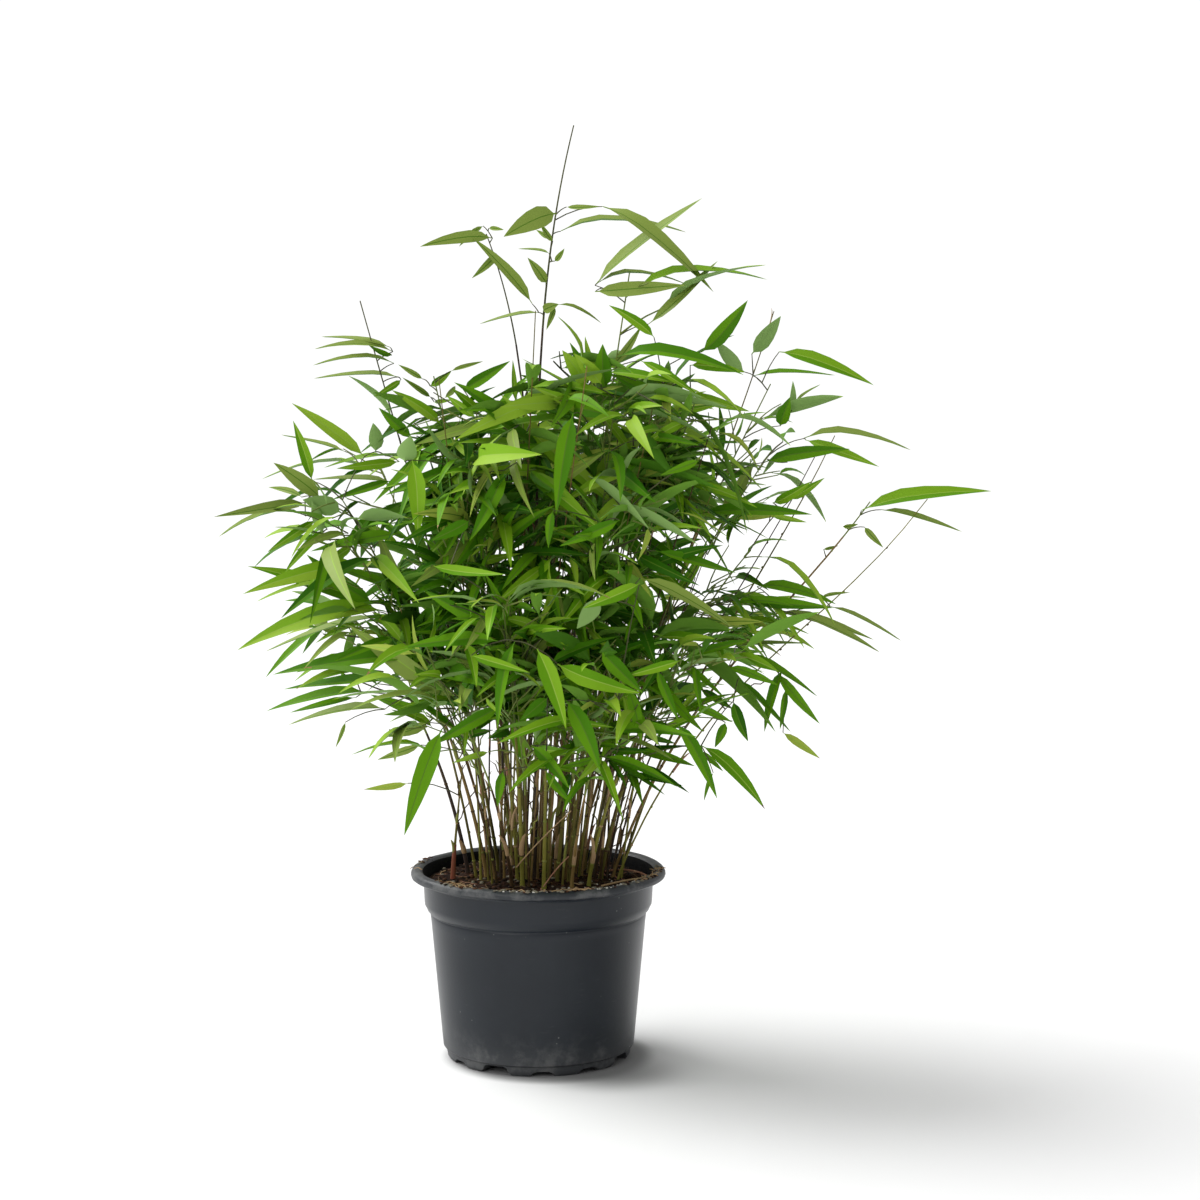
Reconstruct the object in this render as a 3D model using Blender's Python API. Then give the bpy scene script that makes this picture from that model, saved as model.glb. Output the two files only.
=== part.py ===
"""A clump-forming bamboo in a black nursery pot, in metres, +Z up.

The origin is the centre of the pot's underside. The pot holds a filled root ball, and the canes
stand on its top. A leafy cane ends where its foliage starts: the foliage is a separate solid,
made of the cane's own upper stem, side twigs and leaves, and it keeps to the space that lies
nearer to its stem than to any other.
"""

import math
import random
from typing import NamedTuple

import bmesh
import bpy
import numpy as np
from mathutils import Matrix, Vector
from mathutils.bvhtree import BVHTree

# Driving sizes of the pot.
POT_HEIGHT = 0.168
RIM_RADIUS = 0.113
LIP_HEIGHT = 0.0065
LIP_INNER_RADIUS = 0.1050
COLLAR_RADIUS = 0.1021
COLLAR_FOOT_RADIUS = 0.1008
SHOULDER_TOP = 0.137
SHOULDER_FOOT = 0.129
WALL_TOP_RADIUS = 0.0958
WALL_FOOT_RADIUS = 0.0849
WALL = 0.0016
FOOT_HEIGHT = 0.0095
FOOT_RADIUS = 0.0818
FOOT_RING_INNER_RADIUS = 0.060
RING_HEIGHT = 0.0112
FLOOR = 0.0022
POT_STEPS = 48

# The foot ring is broken by drainage notches, a deep one every quarter turn and two shallow
# ones between. They are counted in steps of the pot's turning.
NOTCH_PITCH_STEPS = 4
NOTCHES_A_QUARTER = 3
DEEP_NOTCH = 0.0078
SHALLOW_NOTCH = 0.0042
FIRST_NOTCH_STEP = 8

# The root ball.
SEAT = 0.0003
BALL_CLEARANCE = 0.0005
SOIL_LEVEL = 0.1590
SOIL_EDGE_DROP = 0.0030
SOIL_FLAT_RADIUS = 0.0900
BALL_STEPS = 24

# The clump: where the canes stand and the round head of foliage that they carry.
CLUMP_CENTRE = Vector((0.002, 0.012, 0.0))
CLUMP_HALF = Vector((0.072, 0.058))
HEAD_CENTRE = Vector((0.025, 0.000, 0.455))
HEAD_HALF = Vector((0.216, 0.190, 0.172))
HEAD_REACH = Vector((0.295, 0.265, 0.222))
HEAD_LOWEST = -0.66
HEAD_SHOULDER = 0.75
GOLDEN_ANGLE = math.pi * (3 - math.sqrt(5))
HEAD_CANES = 17
HEAD_PHASE = 0.8
SEED = 13

# Canes.
CANE_RADIUS = 0.0021
CANE_TIP_SHARE = 0.55
CANE_FOOT_SWELL = 1.35
CANE_SIDES = 5
CANE_RINGS = 5
BARE_TIP_RADIUS = 0.0006
CANE_SPACING = 0.0072
CLEARANCE_SAMPLES = 40
FOOT_TRIALS = 200
FOOT_MOVE = 0.035

# Twigs and leaves.
STEM_RINGS = 5
STEM_TIP_RADIUS = 0.0007
TWIG_SIDES = 3
TWIG_RADIUS = (0.0010, 0.0006)
TWIG_LENGTH = (0.075, 0.035)
TWIG_ANGLE = math.radians(50)
TWIG_TRIALS = 14
LEAVES_A_TWIG = 5
LEAF_TRIALS = 16
LEAF_LENGTH = (0.076, 0.112)
LEAF_WIDTH_SHARE = 0.22
LEAF_WIDEST = 0.36
LEAF_KEEL_SHARE = 0.020
LEAF_ARCH_SHARE = (0.03, 0.11)
LEAF_ANGLE = math.radians(40)
LEAF_ROLL = 0.9
LEAF_OUTWARD = 0.22
LEAF_DROOP = (0.60, 0.10)
DROOP_HEIGHTS = (0.30, 0.62)
HEAD_LEAVES = 26
SHOOT_REACH = 0.115
ABOVE_TIP = 0.020
SPACE_MARGIN = 0.0012
LIMB_CLEARANCE = 0.0006
LOWEST_LEAF = 0.196


class Cane(NamedTuple):
    """One cane: its foot on the soil, its tip, where its foliage starts and how much it has."""

    name: str
    foot: Vector
    tip: Vector
    arch: float
    leafy_from: float
    leafy_to: float
    nodes: int
    most_leaves: int
    leaf_top: float
    radius: float
    seed: int
    in_head: bool


class Leaf(NamedTuple):
    """One leaf blade: where it grows, which way, its upper side, and its sizes."""

    root: Vector
    along: Vector
    up: Vector
    length: float
    width: float
    arch: float


# Shoots that stand out of the round head: name, foot, tip, arch, leafy share from and to,
# nodes, most leaves, leaf top, radius and seed.
OUTER_SHOOTS = (
    ("tall", (-0.004, 0.010), (0.032, 0.000, 0.818), 0.10, 0.70, 0.87, 3, 6, 0.756, 0.0021, 44),
    ("top_left", (-0.012, 0.026), (-0.045, 0.020, 0.726), 0.12, 0.80, 1.0, 2, 3, 0.735, 0.0017, 2),
    ("top_right", (0.016, 0.0), (0.080, -0.030, 0.690), 0.14, 0.64, 1.0, 5, 10, 0.752, 0.0017, 50),
    ("right_high", (0.044, 0.022), (0.205, 0.020, 0.595), 0.20, 0.54, 1.0, 6, 22, 0.640, 0.0019, 6),
    ("right_far", (0.066, 0.004), (0.292, 0.005, 0.492), 0.14, 0.90, 1.0, 1, 2, 0.530, 0.0016, 25),
    ("left_high", (-0.040, 0.022), (-0.157, 0.030, 0.668), 0.12, 0.52, 0.88, 6, 16, 0.640, 0.0018, 4),
    ("front_left", (-0.022, -0.04), (-0.075, -0.165, 0.35), 0.34, 0.36, 1.0, 6, 26, 0.42, 0.0019, 17),
    ("front_right", (0.030, -0.04), (0.070, -0.170, 0.34), 0.34, 0.36, 1.0, 6, 26, 0.42, 0.0019, 26),
)
# Young canes that have no leaves yet: name, foot, tip, arch and radius.
BARE_SHOOTS = (
    ("bare_left", (-0.056, 0.010), (-0.122, -0.020, 0.420), 0.20, 0.0016),
    ("bare_right", (0.050, 0.046), (0.211, 0.070, 0.660), 0.02, 0.0016),
    ("bare_far_right", (0.074, 0.030), (0.268, 0.085, 0.548), 0.06, 0.0017),
    ("bare_red", (-0.076, 0.000), (-0.066, -0.020, 0.262), 0.10, 0.0017),
    ("bare_front", (0.006, -0.044), (0.010, -0.080, 0.330), 0.12, 0.0023),
)


def made_material(name, colour, roughness, metallic=0.0):
    """A plain surface for one kind of sub-part."""
    material = bpy.data.materials.new(name)
    material.use_nodes = True
    shader = material.node_tree.nodes["Principled BSDF"]
    shader.inputs["Base Color"].default_value = (*colour, 1.0)
    shader.inputs["Roughness"].default_value = roughness
    shader.inputs["Metallic"].default_value = metallic
    return material


def object_of(name, mesh, material):
    """The named object that shows a mesh in one material."""
    mesh.materials.append(material)
    obj = bpy.data.objects.new(name, mesh)
    bpy.context.scene.collection.objects.link(obj)
    return obj


def turned(name, profile, steps, shape=None):
    """A mesh turned from a closed profile of (radius, height) points about +Z.

    shape, if given, moves a point: it is called with the vertex and its step round the turn.
    """
    bm = bmesh.new()
    outline = [bm.verts.new((radius, 0.0, height)) for radius, height in profile]
    edges = [bm.edges.new(pair) for pair in zip(outline, outline[1:])]
    bmesh.ops.spin(
        bm,
        geom=outline + edges,
        cent=(0, 0, 0),
        axis=(0, 0, 1),
        angle=math.tau,
        steps=steps,
        use_merge=True,
    )
    bmesh.ops.remove_doubles(bm, verts=bm.verts, dist=1e-6)
    if shape:
        for vertex in bm.verts:
            turn = math.atan2(vertex.co.y, vertex.co.x) / math.tau
            shape(vertex, round(turn * steps) % steps)
    bmesh.ops.recalc_face_normals(bm, faces=bm.faces)
    mesh = bpy.data.meshes.new(name)
    bm.to_mesh(mesh)
    bm.free()
    mesh.shade_smooth()
    mesh.set_sharp_from_angle(angle=math.radians(30))
    return mesh


def inner_wall_radius(height):
    """The radius of the pot's inner wall at a height, by the same slopes as its outside."""
    if height >= SHOULDER_TOP:
        rise = (height - SHOULDER_TOP) / (POT_HEIGHT - SHOULDER_TOP)
        return COLLAR_FOOT_RADIUS - WALL + rise * (COLLAR_RADIUS - COLLAR_FOOT_RADIUS)
    rise = (height - FOOT_HEIGHT) / (SHOULDER_FOOT - FOOT_HEIGHT)
    slope = WALL_TOP_RADIUS - WALL_FOOT_RADIUS
    return WALL_FOOT_RADIUS - WALL + min(rise, 1.0) * slope


def pot_profile():
    """The pot's section, from the middle of its underside out, up, over the lip and back in."""
    lip_foot = POT_HEIGHT - LIP_HEIGHT
    return (
        (0.0, 0.0),
        (FOOT_RING_INNER_RADIUS, 0.0),
        (FOOT_RADIUS - 0.0022, 0.0),
        (FOOT_RADIUS, FOOT_HEIGHT - 0.0010),
        (WALL_FOOT_RADIUS, FOOT_HEIGHT),
        (WALL_TOP_RADIUS, SHOULDER_FOOT),
        (COLLAR_FOOT_RADIUS, SHOULDER_TOP),
        (COLLAR_RADIUS, lip_foot - 0.0030),
        (RIM_RADIUS - 0.0015, lip_foot - 0.0008),
        (RIM_RADIUS, lip_foot + 0.0012),
        (RIM_RADIUS - 0.0012, POT_HEIGHT - 0.0008),
        (RIM_RADIUS - 0.0040, POT_HEIGHT),
        (LIP_INNER_RADIUS, POT_HEIGHT - 0.0004),
        (inner_wall_radius(POT_HEIGHT), POT_HEIGHT - 0.0040),
        (inner_wall_radius(SHOULDER_TOP), SHOULDER_TOP),
        (inner_wall_radius(SHOULDER_FOOT), SHOULDER_FOOT),
        (inner_wall_radius(RING_HEIGHT), RING_HEIGHT),
        (FOOT_RING_INNER_RADIUS + 0.0030, RING_HEIGHT),
        (FOOT_RING_INNER_RADIUS - 0.0015, FLOOR),
        (0.0, FLOOR),
    )


def notch_depth(step):
    """How far the foot ring is raised at a step round the pot, or nothing on a foot."""
    along = (step - FIRST_NOTCH_STEP) % (NOTCH_PITCH_STEPS * NOTCHES_A_QUARTER)
    if along in (0, 1):
        return DEEP_NOTCH
    if along in (NOTCH_PITCH_STEPS + 1, 2 * NOTCH_PITCH_STEPS + 1):
        return SHALLOW_NOTCH
    return 0.0


def cut_notch(vertex, step):
    """Raises the underside of the foot ring where a drainage notch runs."""
    radius = math.hypot(vertex.co.x, vertex.co.y)
    on_ring = FOOT_RING_INNER_RADIUS + 0.001 < radius < WALL_FOOT_RADIUS - 0.001
    if on_ring and vertex.co.z < 0.001:
        vertex.co.z += notch_depth(step)


def build_pot(material):
    """The nursery pot: foot ring, thin wall, shoulder, collar and rolled lip."""
    mesh = turned("pot", pot_profile(), POT_STEPS, cut_notch)
    return object_of("pot", mesh, material)


def build_root_ball(material):
    """The filled root ball, a snug fit in the pot, with a level top that the canes stand on."""
    edge_level = SOIL_LEVEL - SOIL_EDGE_DROP
    low = RING_HEIGHT + BALL_CLEARANCE
    profile = [
        (0.0, FLOOR + SEAT),
        (FOOT_RING_INNER_RADIUS - 0.0026, FLOOR + SEAT),
        (FOOT_RING_INNER_RADIUS + 0.0026, low),
    ]
    for height in (low, SHOULDER_FOOT, SHOULDER_TOP, edge_level):
        profile.append((inner_wall_radius(height) - BALL_CLEARANCE, height))
    profile += [(SOIL_FLAT_RADIUS, SOIL_LEVEL), (0.0, SOIL_LEVEL)]
    return object_of("root_ball", turned("root_ball", profile, BALL_STEPS), material)


def head_cane(index, rng):
    """A cane of the round head: its tip lies on the head's shell, its foot under it."""
    share = (index + 0.1) / (HEAD_CANES - 0.5)
    azimuth = HEAD_PHASE + index * GOLDEN_ANGLE
    tilt = math.acos(1 - (1 - HEAD_LOWEST) * share)
    depth = 0.96 - 0.18 * (index % 3 == 1) * (index > 3)
    outward = math.sin(tilt) ** HEAD_SHOULDER * Vector((math.cos(azimuth), math.sin(azimuth)))
    tip = HEAD_CENTRE + Vector(
        (
            HEAD_HALF.x * depth * outward.x,
            HEAD_HALF.y * depth * outward.y,
            HEAD_HALF.z * depth * math.cos(tilt),
        )
    )
    spread = share**0.5
    foot = Vector(
        (
            CLUMP_CENTRE.x + CLUMP_HALF.x * spread * math.cos(azimuth),
            CLUMP_CENTRE.y + CLUMP_HALF.y * spread * math.sin(azimuth),
            SOIL_LEVEL + SEAT,
        )
    )
    return Cane(
        name=f"cane_{index + 1:02d}",
        foot=foot,
        tip=tip,
        arch=0.14 + 0.36 * share,
        leafy_from=0.40 + 0.06 * rng.random(),
        leafy_to=1.0,
        nodes=6,
        most_leaves=HEAD_LEAVES,
        leaf_top=tip.z + ABOVE_TIP,
        radius=CANE_RADIUS * rng.uniform(0.85, 1.15),
        seed=SEED,
        in_head=True,
    )


def outer_cane(name, foot, tip, arch, start, end, nodes, leaves, leaf_top, radius, seed):
    """A shoot that stands out of the round head."""
    return Cane(
        name=f"cane_{name}",
        foot=Vector((*foot, SOIL_LEVEL + SEAT)),
        tip=Vector(tip),
        arch=arch,
        leafy_from=start,
        leafy_to=end,
        nodes=nodes,
        most_leaves=leaves,
        leaf_top=leaf_top,
        radius=radius,
        seed=seed,
        in_head=False,
    )


def bare_cane(name, foot, tip, arch, radius):
    """A young cane without leaves, bare to its tip."""
    return outer_cane(name, foot, tip, arch, 1.0, 1.0, 0, 0, tip[2], radius, 0)


def cane_point(cane, share):
    """A point of the cane's line, a cubic curve that starts steep and arches over outward."""
    span = cane.tip - cane.foot
    level = Vector((span.x, span.y, 0.0))
    start = cane.foot + Vector((0, 0, 0.42 * span.length)) + 0.30 * (1 - cane.arch) * level
    end = cane.tip - Vector((0, 0, 0.34 * span.length * (1 - 1.5 * cane.arch))) - 0.34 * level
    rest = 1 - share
    return (
        rest**3 * cane.foot
        + 3 * rest**2 * share * start
        + 3 * rest * share**2 * end
        + share**3 * cane.tip
    )


def cane_line(cane, low, high, rings):
    """Points of the cane's line between two shares of it."""
    return [cane_point(cane, low + (high - low) * i / (rings - 1)) for i in range(rings)]


def tangents(points):
    """The unit direction of a line of points at each of them."""
    last = len(points) - 1
    return [
        (points[min(i + 1, last)] - points[max(i - 1, 0)]).normalized() for i in range(last + 1)
    ]


def across(direction, hint):
    """The unit vector nearest to hint that is square to a direction."""
    flat = hint - hint.dot(direction) * direction
    if flat.length < 1e-4:
        flat = direction.orthogonal()
    return flat.normalized()


def tube(points, radii, sides, level_foot=False):
    """(vertices, faces) of a closed tapering tube through points.

    level_foot lays the first ring level, as a flat cut at the ground does.
    """
    vertices, faces = [], []
    directions = tangents(points)
    side = across(directions[0], Vector((1, 0, 0)))
    for ring, (centre, direction, radius) in enumerate(zip(points, directions, radii)):
        side = across(direction, side)
        axes = (side, direction.cross(side))
        if level_foot and ring == 0:
            axes = (Vector((1, 0, 0)), Vector((0, 1, 0)))
            side = axes[0]
        for k in range(sides):
            turn = math.tau * k / sides
            offset = radius * (math.cos(turn) * axes[0] + math.sin(turn) * axes[1])
            vertices.append(centre + offset)
    rings = len(points)
    for ring in range(rings - 1):
        for k in range(sides):
            low, beside = ring * sides + k, ring * sides + (k + 1) % sides
            faces.append((low, beside, beside + sides, low + sides))
    faces.append(tuple(reversed(range(sides))))
    faces.append(tuple(range((rings - 1) * sides, rings * sides)))
    return vertices, faces


def leaf_solid(leaf):
    """(vertices, faces) of a thin arching blade: a root, a section at its widest and a tip."""
    along, up = leaf.along.normalized(), across(leaf.along, leaf.up)
    side = along.cross(up)
    widest = leaf.root + leaf.length * (LEAF_WIDEST * along + leaf.arch * up)
    vertices = [
        leaf.root.copy(),
        widest + 0.5 * leaf.width * side,
        widest - 0.5 * leaf.width * side,
        widest - LEAF_KEEL_SHARE * leaf.length * up,
        leaf.root + leaf.length * along,
    ]
    faces = []
    for k in range(3):
        a, b = 1 + k, 1 + (k + 1) % 3
        faces += [(0, a, b), (4, b, a)]
    return vertices, faces


def trial_leaf(rng, root, twig_direction, rank, size, spread):
    """A trial leaf on a twig: rank is -1 or 1 for its side, and 0 for the twig's last leaf."""
    outward = outward_at(root)
    up = across(twig_direction, Vector((0, 0, 1)) + 0.35 * outward)
    angle = rank * LEAF_ANGLE * rng.uniform(0.7, 1.3) + spread * rng.uniform(-0.8, 0.8)
    along = Matrix.Rotation(angle, 3, up) @ twig_direction + LEAF_OUTWARD * outward
    along.z += rng.uniform(-0.25, 0.25) - droop_at(root.z) + spread * rng.uniform(-0.5, 0.5)
    along.normalize()
    roll = Matrix.Rotation(rng.uniform(-LEAF_ROLL, LEAF_ROLL), 3, along)
    length = size * rng.uniform(*LEAF_LENGTH)
    width = length * LEAF_WIDTH_SHARE * rng.uniform(0.85, 1.15)
    arch = rng.uniform(*LEAF_ARCH_SHARE)
    return Leaf(root, along, roll @ across(along, up), length, width, arch)


def droop_at(height):
    """How far a leaf that starts at a height hangs: more at the foot of the crown."""
    low, high = DROOP_HEIGHTS
    rise = min(max((height - low) / (high - low), 0.0), 1.0)
    return LEAF_DROOP[0] + (LEAF_DROOP[1] - LEAF_DROOP[0]) * rise


def outward_at(point):
    """The level direction from the clump's middle line to a point."""
    away = point - CLUMP_CENTRE
    away.z = 0.0
    return away.normalized() if away.length > 1e-3 else Vector((0, -1, 0))


def trial_twig(rng, cane, node, roll):
    """A trial line for the side twig at one node of a cane's upper stem."""
    along = (node + 0.35) / cane.nodes
    share = cane.leafy_from + (cane.leafy_to - cane.leafy_from) * along
    start = cane_point(cane, share)
    ahead = cane_point(cane, min(share + 0.02, 1.0))
    stem = (ahead - cane_point(cane, share - 0.02)).normalized()
    outward = outward_at(start)
    side = Matrix.Rotation(roll, 3, stem) @ across(stem, outward)
    angle = TWIG_ANGLE * rng.uniform(0.6, 1.3)
    direction = math.cos(angle) * stem + math.sin(angle) * side + 0.30 * outward
    length = TWIG_LENGTH[0] + (TWIG_LENGTH[1] - TWIG_LENGTH[0]) * along
    return [start, start + length * rng.uniform(0.45, 1.2) * direction.normalized()]


def leaves_on(rng, line, count, space):
    """The leaves of one twig that find room: two ranks along it and one at its end."""
    blades = []
    direction = (line[-1] - line[0]).normalized()
    for k in range(count):
        last = k == count - 1
        root = line[0].lerp(line[-1], 1.0 if last else 0.30 + 0.65 * k / max(count - 1, 1))
        if last:
            root = root - 0.0008 * direction
        rank = 0 if last else (-1) ** k
        for trial in range(LEAF_TRIALS):
            spread = trial / LEAF_TRIALS
            size = 1.0 - 0.42 * spread
            blade = leaf_solid(trial_leaf(rng, root, direction, rank, size, spread))
            if space.holds(*blade) and space.is_free(blades, *blade):
                blades.append(blade)
                break
    return blades


def sprays(rng, cane, space):
    """The twigs and leaves of a cane's upper stem, each a closed solid, as far as they fit."""
    parts = []
    roll = rng.uniform(0, math.tau)
    for node in reversed(range(cane.nodes)):
        roll += GOLDEN_ANGLE
        room = min(LEAVES_A_TWIG, cane.most_leaves - len(space.taken))
        if room < 1:
            continue
        best = []
        for trial in range(TWIG_TRIALS):
            line = trial_twig(rng, cane, node, roll + rng.uniform(-0.4, 0.4) * (1 + trial))
            twig = tube(line, TWIG_RADIUS, TWIG_SIDES)
            if not space.holds(*twig):
                continue
            blades = leaves_on(rng, line, room, space)
            if len(blades) > len(best) - 1:
                best = [twig] + blades
            if len(blades) == room:
                break
        if len(best) > 1:
            space.take(best[1:])
            parts += best
    if cane.leafy_to == 1.0:
        line = [cane_point(cane, 0.96), cane_point(cane, 1.0)]
        blades = leaves_on(rng, line, 3, space)
        space.take(blades)
        parts += blades
    return parts


def distances(points, segments):
    """The distance from each point to the nearest of some segments, as an array."""
    starts, ends = segments[:, 0], segments[:, 1]
    spans = ends - starts
    away = points[:, None, :] - starts[None]
    along = (away * spans).sum(-1) / (spans * spans).sum(-1)
    nearest = starts + np.clip(along, 0, 1)[..., None] * spans
    return np.linalg.norm(points[:, None, :] - nearest, axis=-1).min(axis=1)


def segments_of(lines):
    """Every segment of some lines of points, as one array."""
    return np.array([pair for line in lines for pair in zip(line, line[1:])])


class Space:
    """The space that one mass keeps to: nearer to its own stem than to any other stem."""

    def __init__(self, cane, stems, limbs):
        self.own = segments_of([stems[cane.name]])
        self.others = segments_of([line for name, line in stems.items() if name != cane.name])
        self.limbs = limbs
        self.top = cane.leaf_top
        self.in_head = cane.in_head
        self.taken = []

    def holds(self, vertices, faces):
        """Whether a twig or leaf stays in the space and clear of every limb."""
        points = np.array(vertices)
        points = np.vstack([points, 0.5 * (points + points[0]), 0.5 * (points + points[-1])])
        if points[:, 2].min() < LOWEST_LEAF or points[:, 2].max() > self.top:
            return False
        if self.in_head:
            away = (points - np.array(HEAD_CENTRE)) / np.array(HEAD_REACH)
            if (away * away).sum(-1).max() > 1.0:
                return False
        mine = distances(points, self.own)
        if mine.max() > SHOOT_REACH or (distances(points, self.others) < mine + SPACE_MARGIN).any():
            return False
        return not self.limbs.overlap(BVHTree.FromPolygons(vertices, faces))

    def is_free(self, blades, vertices, faces):
        """Whether a leaf crosses none of some blades and none that the mass already has."""
        tree = BVHTree.FromPolygons(vertices, faces)
        if any(tree.overlap(other) for other in self.taken):
            return False
        return not any(tree.overlap(BVHTree.FromPolygons(*blade)) for blade in blades)

    def take(self, blades):
        """Counts some blades in as the mass's own."""
        self.taken += [BVHTree.FromPolygons(*blade) for blade in blades]


def solid_object(name, vertices, faces, collection=None):
    """An object of one closed solid, linked to a collection."""
    mesh = bpy.data.meshes.new(name)
    mesh.from_pydata(vertices, [], faces)
    bm = bmesh.new()
    bm.from_mesh(mesh)
    bmesh.ops.recalc_face_normals(bm, faces=bm.faces)
    bm.to_mesh(mesh)
    bm.free()
    obj = bpy.data.objects.new(name, mesh)
    (collection or bpy.context.scene.collection).objects.link(obj)
    return obj


def cane_radii(cane, rings):
    """The cane's radius at each ring: a swollen foot, then an even taper."""
    end = BARE_TIP_RADIUS if not cane.nodes else cane.radius * CANE_TIP_SHARE
    radii = [cane.radius + (end - cane.radius) * i / (rings - 1) for i in range(rings)]
    radii[0] *= CANE_FOOT_SWELL
    return radii


def build_cane(cane, material):
    """The bare lower part of a cane, or the whole of a leafless one."""
    rings = CANE_RINGS if cane.nodes else CANE_RINGS + 3
    line = cane_line(cane, 0.0, cane.leafy_from, rings)
    line.insert(1, line[0].lerp(line[1], 0.12))
    radii = cane_radii(cane, rings)
    radii.insert(1, cane.radius)
    vertices, faces = tube(line, radii, CANE_SIDES, level_foot=True)
    obj = solid_object(cane.name, vertices, faces)
    obj.data.materials.append(material)
    obj.data.shade_smooth()
    return obj


def stem_line(cane):
    """The line of a mass's own stem, which starts a hair above the end of its cane."""
    gap = SEAT / (cane.tip - cane.foot).length
    return cane_line(cane, cane.leafy_from + gap, 1.0, STEM_RINGS)


def union_of(name, parts, material):
    """One object joined from many by a single Boolean union on their collection."""
    collection = bpy.data.collections.new(name + "_parts")
    bpy.context.scene.collection.children.link(collection)
    first, rest = parts[0], parts[1:]
    whole = solid_object(name, *first)
    for number, (vertices, faces) in enumerate(rest):
        solid_object(f"{name}_piece_{number}", vertices, faces, collection)
    union = whole.modifiers.new("union", "BOOLEAN")
    union.operation = "UNION"
    union.operand_type = "COLLECTION"
    union.collection = collection
    union.solver = "MANIFOLD"
    bpy.context.view_layer.update()
    graph = bpy.context.evaluated_depsgraph_get()
    joined = bpy.data.meshes.new_from_object(whole.evaluated_get(graph))
    whole.modifiers.clear()
    whole.data = joined
    whole.data.materials.clear()
    whole.data.materials.append(material)
    for piece in list(collection.objects):
        bpy.data.objects.remove(piece)
    bpy.data.collections.remove(collection)
    return whole


def build_mass(cane, stems, limbs, material):
    """The foliage of one cane: its upper stem, side twigs and leaves, fused into one solid."""
    rng = random.Random(f"{cane.name}:{cane.seed}")
    own = stems[cane.name]
    space = Space(cane, stems, limbs)
    start_radius = cane.radius * CANE_TIP_SHARE
    radii = [
        start_radius + (STEM_TIP_RADIUS - start_radius) * i / (STEM_RINGS - 1)
        for i in range(STEM_RINGS)
    ]
    parts = [tube(own, radii, TWIG_SIDES)] + sprays(rng, cane, space)
    return union_of(cane.name.replace("cane", "leaves"), parts, material)


def limb_tree(canes):
    """Every cane's bare part as one search tree, a little fatter than the canes are."""
    vertices, faces = [], []
    for cane in canes:
        rings = CANE_RINGS
        line = cane_line(cane, 0.0, cane.leafy_from, rings)
        radii = [radius + LIMB_CLEARANCE for radius in cane_radii(cane, rings)]
        more_vertices, more_faces = tube(line, radii, CANE_SIDES)
        base = len(vertices)
        vertices += more_vertices
        faces += [tuple(base + i for i in face) for face in more_faces]
    return BVHTree.FromPolygons(vertices, faces)


def clears(cane, placed):
    """Whether a cane keeps its distance from every placed one, all the way up."""
    points = np.array(cane_line(cane, 0.0, 1.0, CLEARANCE_SAMPLES))
    lines = [cane_line(other, 0.0, 1.0, CLEARANCE_SAMPLES) for other in placed]
    return not placed or distances(points, segments_of(lines)).min() > CANE_SPACING


def placed_clear(rng, cane, placed):
    """The cane with its foot moved, as little as it takes, to where the cane touches no other."""
    for trial in range(FOOT_TRIALS):
        reach = FOOT_MOVE * trial / FOOT_TRIALS
        shift = Vector((rng.uniform(-reach, reach), rng.uniform(-reach, reach), 0.0))
        moved = cane._replace(foot=cane.foot + shift)
        if clears(moved, placed):
            return moved
    return cane


def all_canes():
    """Every cane of the clump, the outer shoots first."""
    rng = random.Random(SEED)
    canes = [outer_cane(*shoot) for shoot in OUTER_SHOOTS]
    canes += [bare_cane(*shoot) for shoot in BARE_SHOOTS]
    canes += [head_cane(index, rng) for index in range(HEAD_CANES)]
    placed = []
    for cane in canes:
        placed.append(placed_clear(rng, cane, placed))
    return placed


def main():
    """Clears the scene and builds every sub-part."""
    for obj in list(bpy.data.objects):
        bpy.data.objects.remove(obj)
    build_pot(made_material("black_plastic", (0.030, 0.034, 0.037), 0.42))
    build_root_ball(made_material("peat", (0.035, 0.020, 0.013), 0.95))
    canes = all_canes()
    bark = made_material("cane_skin", (0.20, 0.17, 0.05), 0.50)
    green = made_material("leaf_green", (0.10, 0.26, 0.03), 0.45)
    for cane in canes:
        build_cane(cane, bark)
    stems = {cane.name: stem_line(cane) for cane in canes if cane.nodes}
    limbs = limb_tree(canes)
    for cane in canes:
        if cane.nodes:
            build_mass(cane, stems, limbs, green)


main()
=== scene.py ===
"""Looks of a clump-forming bamboo in a black nursery pot, in metres, +Z up.

The clump grows by the same seeded rule as the part's solids: canes that stand on the root ball,
and at the top of each leafy cane a mass of foliage that keeps to the space nearest its own stem.
Here the rule is carried on to finer twigs, and the blades have their living outline.
"""

from __future__ import annotations

import logging
import math
import random
from dataclasses import dataclass, field, replace
from enum import Enum
from typing import Any, Callable, Iterable, Sequence

import bmesh
import bpy
import numpy as np
from mathutils import Matrix, Vector, noise
from mathutils.bvhtree import BVHTree


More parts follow.
